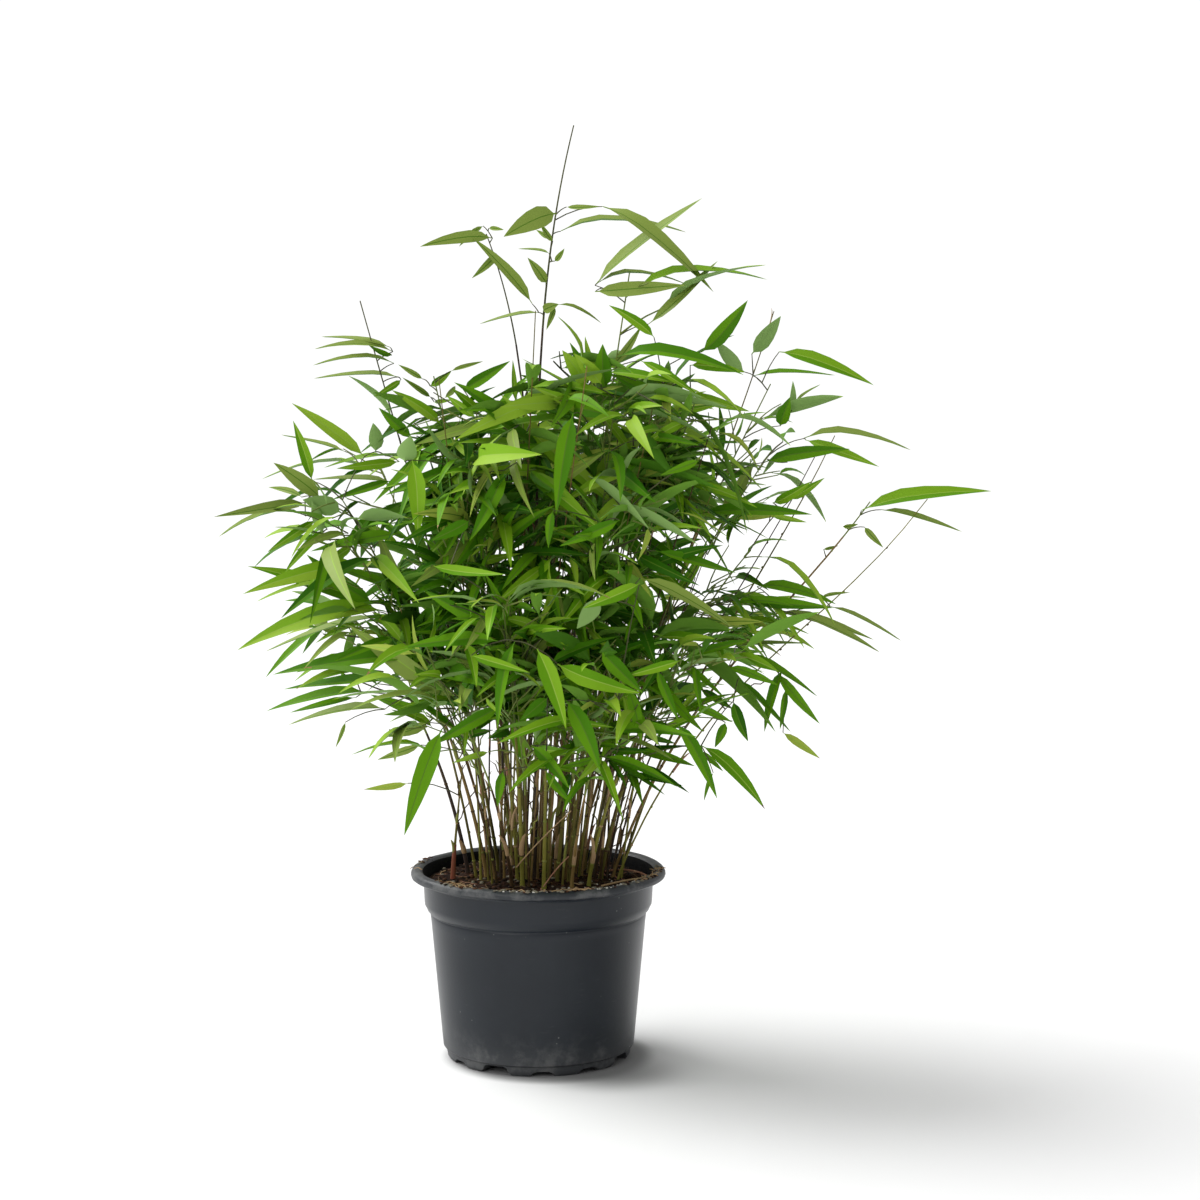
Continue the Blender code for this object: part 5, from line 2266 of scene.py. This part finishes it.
    def add_joint(
        self, cane: Cane, share: float, radius: float, trim: Strands, rng: random.Random
    ) -> None:
        """Adds a joint's ring, and sometimes the sheath that it still holds.

        Args:
            cane: the cane.
            share: where the joint is along it.
            radius: the cane's radius there.
            trim: the piece of the joints and sheaths.
            rng: seeded numbers.
        """
        before, centre, after = (
            self.clump.shown(cane, min(max(share + step, 0.0), 1.0)) for step in (-0.01, 0.0, 0.01)
        )
        ahead = (after - before).normalized()
        swell = self.joint_swell * radius
        ring = [centre + ahead * step for step in (-0.0010, -0.0003, 0.0004, 0.0011)]
        tone = rng.choices((SheathTone.DARK, SheathTone.GREEN, SheathTone.PAPER), (5, 3, 1))[0]
        trim.add(ring, [radius * 0.9, swell, swell, radius * 0.9], tone)
        if rng.random() < (0.34 if centre.z < 0.34 else 0.16):
            length = rng.uniform(0.010, 0.030)
            lean = across(ahead, level_hint(rng))
            line = [
                centre + ahead * (0.0006 + length * t) + lean * (0.25 * length * t**3)
                for t in (0.0, 0.25, 0.60, 0.85, 1.0)
            ]
            widths = [1.22, 1.34, 1.18, 0.75, 0.18]
            tones = (SheathTone.PAPER, SheathTone.PINK, SheathTone.GREEN, SheathTone.DARK)
            trim.add(line, [radius * w for w in widths], rng.choices(tones, (5, 2, 3, 2))[0])
        if 0.185 < centre.z < 0.36 and rng.random() < 0.5:
            self.add_stub(centre, ahead, trim, rng)

    def add_stub(self, foot: Vector, ahead: Vector, trim: Strands, rng: random.Random) -> None:
        """Adds a short side twig that zigzags up from a joint.

        Args:
            foot: where it starts.
            ahead: the way that the cane runs there.
            trim: the piece that takes it.
            rng: seeded numbers.
        """
        lean = across(ahead, level_hint(rng))
        line, step = [foot], rng.uniform(0.004, 0.008)
        for k in range(rng.randint(3, 6)):
            line.append(line[-1] + step * (ahead + (0.75 + 0.5 * (-1) ** k) * lean).normalized())
        tone = rng.choice((SheathTone.DARK, SheathTone.DARK, SheathTone.GREEN))
        trim.add(line, [0.00055] * (len(line) - 1) + [0.0002], tone)

    def build(self) -> None:
        """Builds and dresses the canes, their joints and their sheaths."""
        rng = random.Random(self.seed + 1)
        strands = Strands("canes", list(CaneTone), fineness=2)
        trim = Strands("cane_joints", list(SheathTone), fineness=2)
        for cane in self.canes:
            self.add_cane(cane, strands, trim, rng)
        red = next(cane for cane in self.canes if cane.name == "cane_bare_red")
        base = [red.point(share) for share in (0.0, 0.06, 0.14, 0.24)]
        base[0].z -= 0.003
        strands.add(base, [0.0027, 0.0022, 0.0020, 0.0017], CaneTone.RED)
        names = [cane.name for cane in self.canes]
        placed("canes", strands.mesh(), names)
        thin = Strands("thin_canes", list(CaneTone), fineness=1)
        for cane in [*self.inner, *self.thin_shoots()]:
            self.add_cane(cane, thin, trim, rng)
        placed("thin_canes", thin.mesh(), [])
        placed("cane_joints", trim.mesh(), [])


@dataclass
class LoneLeaves:
    """The leaves that stand out singly, each at the end of a fine twig from the nearest stem."""

    clump: Clump
    seed: int = 3
    rise: float = 0.30
    twig_radii: tuple = (0.00062, 0.00042)
    # Small leaves low among the canes: how many, the share of them on the right, and the
    # lowest and highest roots in mm.
    low_leaves: int = 46
    low_right: float = 0.62
    low_roots: tuple = (252, 350)
    # Root and tip in mm, width in mm, how far its upper side is turned to the front in degrees
    # (its back, if that is under 0), its bow in hundredths of its length, and its tone.
    rows: tuple = (
        (17,-5,742,-28,-30,721,19,90,6,"O"), (25,0,748,56,-10,748,5,66,3,"O"),
        (56,-10,748,152,-40,675,19,44,11,"O"), (20,0,727,131,20,729,17,18,9,"O"),
        (15,0,701,24,-8,712,5,90,0,"O"), (14,0,718,3,-10,734,5,90,0,"O"),
        (10,0,720,-1,10,729,4,90,0,"O"), (8,0,682,-8,-14,704,9,90,8,"O"),
        (11,0,708,-17,12,713,5,34,2,"O"), (5,0,658,19,-10,664,9,90,5,"O"),
        (17,5,664,56,10,648,6,33,12,"O"), (16,5,662,8,0,642,5,90,0,"O"),
        (2,0,657,-51,10,648,8,25,2,"O"), (-39,20,722,-102,0,715,11,90,5,"O"),
        (-47,20,733,-69,20,715,5,90,5,"O"), (-4,0,664,-57,10,725,12,59,3,"O"),
        (-36,20,709,-57,0,687,7,90,5,"O"), (-43,20,731,-29,10,729,4,90,0,"O"),
        (50,-30,679,143,-20,755,18,32,2,"O"), (50,-30,674,128,-50,681,13,90,6,"O"),
        (52,-30,681,130,-10,683,12,17,12,"O"), (96,-30,646,156,-30,703,12,50,2,"O"),
        (101,-60,634,62,-60,662,9,90,3,"F"), (141,-40,622,181,-40,668,14,90,2,"M"),
        (69,-60,618,176,-80,604,16,47,11,"M"), (44,-80,594,23,-90,624,14,90,3,"B"),
        (45,-70,593,29,-70,631,8,90,2,"M"), (52,-60,602,42,-60,636,6,90,0,"B"),
        (60,-80,592,57,-90,629,15,90,5,"M"), (56,-90,595,33,-100,621,13,90,3,"B"),
        (64,-60,610,90,-50,645,7,90,2,"O"), (-64,-20,590,-22,-40,615,10,90,5,"M"),
        (-94,0,593,-75,0,606,7,90,3,"P"), (-76,0,606,-48,20,615,5,55,4,"O"),
        (-18,-40,580,-20,-40,616,5,73,0,"F"), (-49,-30,570,-72,-50,592,8,90,3,"F"),
        (-52,-30,566,-78,-20,585,8,90,3,"F"), (-83,-20,560,-124,-40,591,10,90,3,"B"),
        (-108,-20,549,-137,-20,575,10,90,3,"M"), (23,-90,584,-65,-130,552,15,85,10,"B"),
        (-6,-80,592,81,-90,583,13,35,6,"F"), (14,-90,584,-7,-100,591,7,-90,2,"P"),
        (26,-90,573,74,-120,567,13,90,12,"M"), (21,-90,579,-27,-150,579,13,90,8,"B"),
        (61,-70,605,122,-90,597,10,53,8,"F"), (88,-80,615,138,-90,586,9,59,9,"F"),
        (131,-60,588,182,-60,573,9,90,9,"F"), (130,-100,565,88,-110,543,8,90,4,"F"),
        (46,-90,561,-54,-100,555,15,26,9,"F"), (88,-100,549,137,-120,545,8,70,6,"M"),
        (180,-20,605,154,-40,633,12,-90,6,"P"), (131,-50,611,178,-60,605,9,90,6,"F"),
        (-128,30,623,-197,20,627,10,37,8,"O"), (-130,30,627,-194,50,637,10,26,6,"O"),
        (-129,30,620,-148,10,629,5,90,0,"M"), (-127,30,613,-196,0,612,11,23,8,"O"),
        (-123,30,601,-200,40,600,12,18,3,"O"), (-121,30,599,-144,10,584,6,90,3,"F"),
        (-101,20,599,-123,20,612,5,90,4,"O"), (-94,20,583,-118,0,601,5,82,4,"O"),
        (-92,20,579,-75,10,581,4,90,2,"P"), (-149,-20,532,-211,-30,579,12,75,2,"B"),
        (-194,-30,511,-210,-30,564,10,90,4,"F"), (-168,0,536,-227,20,551,10,16,2,"O"),
        (-187,-30,497,-226,-40,528,14,90,4,"O"), (-204,-20,497,-236,0,505,6,64,3,"O"),
        (-200,-30,493,-266,-120,487,12,58,5,"O"), (-201,-20,481,-265,-100,470,14,14,9,"O"),
        (-189,-40,479,-231,-50,452,8,90,5,"F"), (-180,-40,471,-216,-60,433,8,69,6,"F"),
        (-167,-50,485,-199,-60,497,17,-90,4,"P"), (-183,-50,467,-191,-60,497,10,-90,3,"P"),
        (-140,-20,536,-141,-30,562,13,-90,5,"P"), (-132,-10,533,-187,0,523,9,31,2,"F"),
        (-119,-20,528,-172,-40,523,9,90,3,"F"), (-127,-10,510,-198,10,513,11,28,3,"O"),
        (-125,-30,512,-175,-50,497,8,68,3,"M"), (-115,-60,468,-192,-70,454,12,60,5,"M"),
        (-158,-50,457,-181,-50,443,8,90,3,"F"), (-137,-30,398,-248,-50,441,18,55,4,"F"),
        (-140,-50,408,-195,-70,453,15,90,5,"M"), (-129,-50,400,-255,-70,372,20,56,10,"B"),
        (-116,-40,435,-182,-20,439,10,42,3,"M"), (-116,-60,420,-187,-50,445,11,42,4,"M"),
        (-136,-30,394,-239,-10,363,16,15,3,"O"), (-151,-40,388,-189,-60,374,7,50,5,"F"),
        (-97,-80,364,-225,-70,350,19,44,5,"M"), (-115,-60,343,-220,-40,334,16,32,2,"M"),
        (-147,-40,329,-236,-30,312,14,34,3,"M"), (-155,-50,326,-212,-60,315,9,36,3,"M"),
        (-132,-30,313,-220,-10,298,14,26,4,"O"), (-167,-30,302,-176,-30,279,4,70,0,"O"),
        (-92,-70,307,-128,-80,296,9,90,3,"O"), (-99,-60,286,-138,-50,272,7,90,4,"O"),
        (-111,-50,251,-150,-50,246,6,90,2,"Y"), (-169,-40,364,-209,-50,340,7,36,5,"F"),
        (-177,-50,455,-199,-60,411,8,43,3,"F"), (33,-150,572,19,-165,492,15,90,4,"M"),
        (-101,-120,533,-96,-130,469,15,90,4,"F"), (-107,-120,531,-102,-115,553,17,-90,6,"P"),
        (-82,-180,450,-21,-200,445,10,56,-5,"F"), (81,-110,573,117,-130,520,11,-90,12,"D"),
        (45,-150,521,95,-160,479,10,-48,5,"P"), (65,-150,497,135,-150,466,12,-45,4,"P"),
        (87,-190,436,41,-200,417,11,90,16,"F"), (55,-180,422,36,-185,399,14,-90,5,"P"),
        (17,-170,494,13,-170,463,7,90,2,"M"), (-26,-190,389,-104,-200,386,12,71,5,"M"),
        (-26,-170,334,-82,-200,306,11,90,5,"M"), (-72,-200,320,-102,-215,238,16,90,6,"M"),
        (-13,-200,391,-27,-215,322,11,64,5,"M"), (4,-210,386,28,-225,324,15,90,4,"F"),
        (20,-205,373,87,-215,351,15,90,5,"F"), (55,-195,383,89,-205,350,13,90,4,"M"),
        (27,-200,343,55,-210,288,15,90,5,"M"), (-49,-200,379,-1,-215,367,8,90,3,"F"),
        (-2,-170,302,30,-180,268,10,90,4,"M"), (10,-165,281,32,-170,254,7,90,3,"M"),
        (52,-160,291,22,-160,283,6,90,4,"M"), (57,-160,291,118,-160,267,10,49,14,"M"),
        (77,-180,349,88,-185,307,10,90,3,"M"), (-25,-150,278,-30,-150,248,8,90,3,"M"),
        (12,-160,340,-11,-165,321,11,90,4,"S"), (120,-190,374,72,-200,362,8,90,4,"F"),
        (101,-170,365,119,-175,323,8,90,3,"M"), (117,-150,318,151,-160,257,11,90,4,"M"),
        (100,-140,459,168,-120,440,11,48,4,"M"), (87,-160,438,164,-150,398,13,49,5,"O"),
        (-51,-160,485,-82,-180,470,11,90,4,"S"), (-24,-130,525,-52,-150,468,13,90,5,"M"),
        (5,-130,537,-43,-160,544,10,60,4,"S"), (71,-170,486,22,-180,466,10,90,4,"M"),
        (137,-130,533,104,-140,521,7,90,4,"M"), (140,-90,290,195,-90,236,12,70,12,"R"),
        (211,10,623,294,0,595,13,68,7,"F"), (189,20,602,263,30,603,11,23,6,"M"),
        (188,20,621,213,10,655,14,-90,4,"P"), (212,0,558,220,-10,584,12,90,4,"M"),
        (222,0,571,223,0,598,6,-90,2,"P"), (226,10,578,250,30,595,5,30,5,"O"),
        (234,20,547,331,30,537,15,25,9,"O"), (235,10,546,298,-10,525,10,68,10,"F"),
        (198,-10,527,272,-20,539,12,90,5,"M"), (219,-30,495,248,-40,515,7,90,2,"F"),
        (203,-40,493,235,-60,513,9,90,4,"F"), (140,-60,485,236,-60,486,14,51,4,"M"),
        (201,-40,482,234,-30,476,5,83,3,"B"), (191,-20,419,259,-40,407,11,64,7,"M"),
        (254,-30,403,317,-30,373,10,19,2,"O"), (175,-50,410,255,-60,406,12,58,5,"M"),
        (205,-50,400,291,-50,378,13,35,7,"O"), (222,-60,399,294,-70,367,12,34,3,"O"),
        (174,-40,390,236,-40,380,9,33,8,"F"), (171,-50,370,235,-30,371,10,20,2,"O"),
        (179,-60,366,241,-70,329,11,33,6,"M"), (207,-60,349,243,-70,306,9,86,3,"M"),
        (169,-80,366,206,-90,353,10,90,4,"F"), (163,-90,357,205,-100,343,8,90,3,"M"),
        (212,-60,352,196,-60,298,9,64,4,"M"), (215,-50,334,210,-50,298,6,90,4,"M"),
        (168,-80,327,181,-80,292,10,90,6,"S"), (161,-90,310,152,-90,288,8,90,3,"M"),
        (213,-40,294,246,-40,271,7,90,2,"Y"), (173,-60,344,219,-60,298,10,32,2,"M"),
        (246,-30,410,273,-20,414,4,52,2,"O"), (151,-90,267,143,-90,242,4,59,0,"M"),
        (140,-80,284,160,-80,266,5,90,3,"M"), (140,-70,336,169,-70,318,7,90,3,"S"),
        (131,-90,324,167,-90,310,7,90,4,"M"), (284,5,484,398,0,502,17,45,9,"F"),
        (301,5,485,375,15,465,12,27,3,"O"), (287,5,470,303,-5,452,6,90,6,"O"),
        (268,5,470,281,-5,473,4,90,2,"O"), (251,5,450,265,10,453,3,90,0,"O"),
    )

    def low_rows(self) -> list[tuple]:
        """Rows for the small leaves low among the canes, in the same terms as the others.

        Returns:
            The rows.
        """
        rng = random.Random(self.seed + 1)
        found = []
        for _ in range(self.low_leaves):
            up = rng.uniform(*self.low_roots)
            spread = 0.70 + 0.0035 * (up - self.low_roots[0])
            side = (48, 118) if rng.random() < self.low_right else (-52, 48)
            wide, deep = spread * rng.uniform(*side), rng.uniform(-78, 24)
            heading = math.atan2(deep + 12, wide - 20) + rng.gauss(0.0, 0.7)
            size, drop = rng.uniform(24, 56), rng.uniform(-0.25, 0.75)
            ahead, sideways = size * math.cos(heading), size * math.sin(heading)
            tip = (wide + ahead, deep + sideways, up - size * drop)
            shape = (size * rng.uniform(0.13, 0.18), rng.uniform(15, 80), rng.uniform(2, 9))
            found.append((wide, deep, up, *tip, *shape, rng.choice("DSSMMMF")))
        return found

    def tones(self, letter: str) -> tuple[int, ...]:
        """The four tones of a leaf from the letter of its green.

        Args:
            letter: the letter.

        Returns:
            The tones of its upper side, back, rib and tip.
        """
        # D, S, M, F and B are one leaf green in painted shade and painted light, from deep shade to
        # full light; P shows a pale back that also stands for a painted sheen.
        named = {
            "D": (LeafTone.DEEP, LeafTone.BACK_DEEP, LeafTone.RIB_DEEP, LeafTone.DEEP),
            "S": (LeafTone.SHADE, LeafTone.BACK_DEEP, LeafTone.RIB_DEEP, LeafTone.SHADE),
            "M": (LeafTone.MID, LeafTone.BACK, LeafTone.RIB_DEEP, LeafTone.MID),
            "F": (LeafTone.FRESH, LeafTone.BACK, LeafTone.RIB, LeafTone.FRESH),
            "B": (LeafTone.BRIGHT, LeafTone.BACK_PALE, LeafTone.RIB, LeafTone.BRIGHT),
            "O": (LeafTone.OLIVE, LeafTone.BACK, LeafTone.RIB_DEEP, LeafTone.OLIVE),
            "Y": (LeafTone.YELLOW, LeafTone.BACK, LeafTone.RIB, LeafTone.DRY),
            "P": (LeafTone.FRESH, LeafTone.BACK_PALE, LeafTone.RIB, LeafTone.BACK_PALE),
            "R": (LeafTone.MID, LeafTone.BACK, LeafTone.RIB, LeafTone.RUST),
        }
        return tuple(LEAF_TONES.index(tone) for tone in named[letter])

    def leaf(self, row: tuple) -> Leaf:
        """The leaf of one row.

        Args:
            row: its sizes.

        Returns:
            The leaf.
        """
        root, tip = (0.001 * Vector(row[k : k + 3]) for k in (0, 3))
        width, turn, bow = 0.001 * row[6], math.radians(row[7]), 0.01 * row[8]
        along = (tip - root).normalized()
        front = across(along, Vector((0.0, -1.0, 0.06)))
        over = along.cross(front)
        over = over if over.z >= 0 else -over
        up = math.sin(turn) * front + math.cos(turn) * over
        return Leaf(root, along, up, (tip - root).length, width, bow / 1.35)

    def add(self, canes: Sequence[Cane], leaves: Leaves, twigs: Strands) -> None:
        """Adds every leaf, and the twig that carries it.

        Args:
            canes: the canes that may carry them.
            leaves: the piece that takes the leaves.
            twigs: the piece that takes the twigs.
        """
        rng = random.Random(self.seed)
        holds = [self.clump.shown(cane, 0.15 + k / 48) for cane in canes for k in range(41)]
        for row in (*self.rows, *self.low_rows()):
            leaf = self.leaf(row)
            leaves.add(leaf, rng, self.tones(row[9]), 0.25)
            spots = np.array(holds)
            away = np.linalg.norm(spots - np.array(leaf.root), axis=1)
            over = np.maximum(0.0, spots[:, 2] - leaf.root.z + self.rise * away)
            start = Vector(holds[int((away + 1.5 * over).argmin())])
            span = leaf.root - start
            if span.length < 0.0015:
                continue
            first = start + 0.5 * span + Vector((0, 0, 0.14 * span.length))
            seat = leaf.root + 0.0006 * leaf.along
            line = [bowed(start, first, seat, t) for t in (0.0, 0.25, 0.5, 0.75, 1.0)]
            twigs.add(line, even_steps(*self.twig_radii, 5), TwigTone.DARK)
            holds += line[1:]


@dataclass
class Foliage:
    """Every mass of foliage: its stem, twigs and leaves."""

    clump: Clump
    habit: Habit
    canes: Sequence[Cane]
    inner: Sequence[Cane]
    greens: Greens = field(default_factory=Greens)
    form: BladeForm = field(default_factory=BladeForm)
    openness: Openness = field(default_factory=Openness)
    inner_fullness: float = 0.8
    seed: int = 5
    # How full each outer shoot is grown beyond the rule's own twigs, and how much of it is kept.
    fullness: dict[str, tuple[float, float]] = field(
        default_factory=lambda: {
            "cane_tall": (0.0, 0.0),
            "cane_top_left": (0.0, 0.0),
            "cane_top_right": (0.3, 0.35),
            "cane_right_high": (0.9, 0.55),
            "cane_right_far": (0.0, 0.0),
            "cane_left_high": (0.5, 0.20),
            "cane_front_left": (1.0, 0.85),
            "cane_front_right": (1.0, 0.85),
        }
    )
    twig_radii: tuple = (0.00105, 0.00060)
    fine_radii: tuple = (0.00075, 0.00045)
    dark_stems: tuple = ("cane_tall", "cane_left_high", "cane_top_left")

    def masses(self) -> list[Mass]:
        """Grows every mass, and the shoots in the middle of the head.

        Returns:
            The masses.
        """
        stems = {cane.name: self.habit.stem_line(cane) for cane in self.canes if cane.nodes}
        limbs = self.habit.limb_tree(self.canes)
        grown = []
        for cane in [*self.canes, *self.inner]:
            if not cane.nodes:
                continue
            lone = cane in self.inner
            near = {cane.name: self.habit.stem_line(cane)} if lone else stems
            mass = Mass(cane, self.clump, self.habit, near, limbs)
            mass.grow()
            ruled = len(mass.taken)
            full = self.inner_fullness if lone else self.fullness.get(cane.name, (1.0, 1.0))[0]
            mass.grow_finer(full)
            LOG.info("%s: %d leaves by the rule, %d in all", cane.name, ruled, len(mass.taken))
            grown.append(mass)
        return grown

    def add_stem(self, cane: Cane, twigs: Strands) -> None:
        """Adds a mass's own stem, which grows on from its cane.

        Args:
            cane: the cane.
            twigs: the piece that takes it.
        """
        start = 0.86 * cane.radius * self.habit.cane_taper
        shares = np.linspace(cane.leafy_from, 1.0, 14)
        radii = even_steps(start, self.habit.stem_tip * 0.8, 14)
        tone = TwigTone.DARK if cane.name in self.dark_stems else TwigTone.GREEN
        twigs.add([self.clump.shown(cane, share) for share in shares], radii, tone)

    def add_twig(self, spray: Spray, twigs: Strands, rng: random.Random) -> None:
        """Adds a spray's twig, bent a little upward in its middle.

        Args:
            spray: the spray.
            twigs: the piece that takes it.
            rng: seeded numbers.
        """
        first, last = spray.line
        length = (last - first).length
        bow = across((last - first).normalized(), UP) * length * rng.uniform(-0.05, 0.08)
        line = [first.lerp(last, t) + bow * 4 * t * (1 - t) for t in (0.0, 0.25, 0.5, 0.75, 1.0)]
        radii = even_steps(*(self.fine_radii if spray.fine else self.twig_radii), 5)
        tone = TwigTone.GREEN if rng.random() < 0.7 else TwigTone.DARK
        twigs.add(line, radii, tone)

    def add_mass(self, mass: Mass, twigs: Strands, leaves: Leaves, rng: random.Random) -> None:
        """Adds a mass's stem, and each twig with the leaves that the open crown keeps.

        Args:
            mass: the grown mass.
            twigs: the piece that takes the stem and the twigs.
            leaves: the piece that takes the leaves.
            rng: seeded numbers.
        """
        self.add_stem(mass.cane, twigs)
        share = self.fullness.get(mass.cane.name, (1.0, 1.0))[1]
        for spray in mass.sprays:
            level = self.greens.spray_tone(spray.line[-1], rng)
            kept = [self.openness.living(leaf, share, rng) for leaf in spray.leaves]
            if any(kept):
                self.add_twig(spray, twigs, rng)
            for leaf in filter(None, kept):
                leaves.add(leaf, rng, self.greens.leaf_tones(level, leaf.length < 0.05, rng))

    def build(self) -> None:
        """Builds and dresses the foliage."""
        rng = random.Random(self.seed)
        twigs = Strands("twigs", list(TwigTone))
        pieces = {
            name: Leaves(name, self.form)
            for name in ("leaves_head_front", "leaves_head_back", "leaves_shoots")
        }
        names: dict[str, list[str]] = {name: [] for name in pieces}
        for mass in self.masses():
            cane = mass.cane
            side = "front" if cane.tip.y < self.clump.centre.y else "back"
            piece = f"leaves_head_{side}" if cane.in_head else "leaves_shoots"
            if cane.name.startswith("cane"):
                names[piece].append(cane.name.replace("cane", "leaves"))
            self.add_mass(mass, twigs, pieces[piece], rng)
        canes = [*self.canes, *self.inner]
        LoneLeaves(self.clump).add(canes, pieces["leaves_shoots"], twigs)
        for name, leaves in pieces.items():
            placed(name, leaves.mesh(), names[name])
            LOG.info("%s: %d leaves", name, len(leaves.rows))
        placed("twigs", twigs.mesh(), [])


@dataclass
class Studio:
    """The pale floor, the soft light and the camera."""

    floor_half: float = 9.0
    ambient: float = 0.56
    backdrop: float = 1.05
    sun_strength: float = 3.3
    sun_angle: float = 46.0
    sun_from: Vector = Vector((-0.63, 0.28, 0.72))
    fill_power: float = 24.0
    fill_size: float = 1.7
    fill_place: Vector = Vector((-1.5, -2.3, 1.7))
    aim: Vector = Vector((0.02, 0.0, 0.36))
    camera_place: Vector = Vector((0.0547, -2.2, 0.602))
    camera_pitch: float = 5.10
    lens: float = 75.33
    sensor: float = 36.0

    def build_floor(self) -> None:
        """Lays the floor."""
        bm = bmesh.new()
        bmesh.ops.create_grid(bm, x_segments=1, y_segments=1, size=self.floor_half)
        mesh = bpy.data.meshes.new("studio_floor")
        bm.to_mesh(mesh)
        bm.free()
        mesh.materials.append(StudioPaint().make())
        linked("studio_floor", mesh)

    def build_surroundings(self) -> None:
        """Sets even white surroundings, which look whiter than they light."""
        world = bpy.data.worlds.new("studio_air")
        world.use_nodes = True
        nodes, links = world.node_tree.nodes, world.node_tree.links
        air = nodes["Background"]
        path = nodes.new("ShaderNodeLightPath")
        strength = nodes.new("ShaderNodeMapRange")
        strength.inputs["To Min"].default_value = self.ambient
        strength.inputs["To Max"].default_value = self.backdrop
        air.inputs["Color"].default_value = (1.0, 1.0, 1.0, 1.0)
        links.new(path.outputs["Is Camera Ray"], strength.inputs["Value"])
        links.new(strength.outputs["Result"], air.inputs["Strength"])
        bpy.context.scene.world = world

    def add_light(self, name: str, kind: str, place: Vector, towards: Vector) -> bpy.types.Light:
        """Adds a light that looks at a point.

        Args:
            name: the light's name.
            kind: its type.
            place: where it stands.
            towards: the point that it looks at.

        Returns:
            The light's data.
        """
        data = bpy.data.lights.new(name, kind)
        light = linked(name, data)
        light.location = place
        light.rotation_euler = (towards - place).to_track_quat("-Z", "Y").to_euler()
        return data

    def build_lights(self) -> None:
        """Hangs the key light at the upper left and a wide soft box in front of it."""
        key = self.add_light("key", "SUN", self.aim + 4 * self.sun_from.normalized(), self.aim)
        key.energy = self.sun_strength
        key.angle = math.radians(self.sun_angle)
        box = self.add_light("soft_box", "AREA", self.fill_place, self.aim)
        box.energy = self.fill_power
        box.size = self.fill_size

    def build_camera(self) -> None:
        """Sets up the camera, level and looking a little down."""
        data = bpy.data.cameras.new("camera")
        data.lens = self.lens
        data.sensor_width = self.sensor
        data.clip_end = 40.0
        camera = linked("camera", data)
        camera.location = self.camera_place
        camera.rotation_euler = (math.radians(90.0 - self.camera_pitch), 0.0, 0.0)
        bpy.context.scene.camera = camera

    def build(self) -> None:
        """Builds the whole studio."""
        self.build_floor()
        self.build_surroundings()
        self.build_lights()
        self.build_camera()
        bpy.context.scene.view_settings.view_transform = "Standard"


def main() -> None:
    """Builds every sub-assembly in order, and the studio round them."""
    logging.basicConfig(level=logging.INFO, format="%(name)s: %(message)s")
    Studio().build()
    pot = Pot()
    pot.build()
    ball = RootBall(pot)
    ball.build()
    Litter(pot, ball).build()
    clump, habit = Clump(), Habit()
    canes = clump.canes()
    inner = clump.inner_canes(canes)
    Canes(clump, habit, canes, inner).build()
    Foliage(clump, habit, canes, inner).build()
    bpy.context.view_layer.update()


if __name__ == "__main__":
    main()
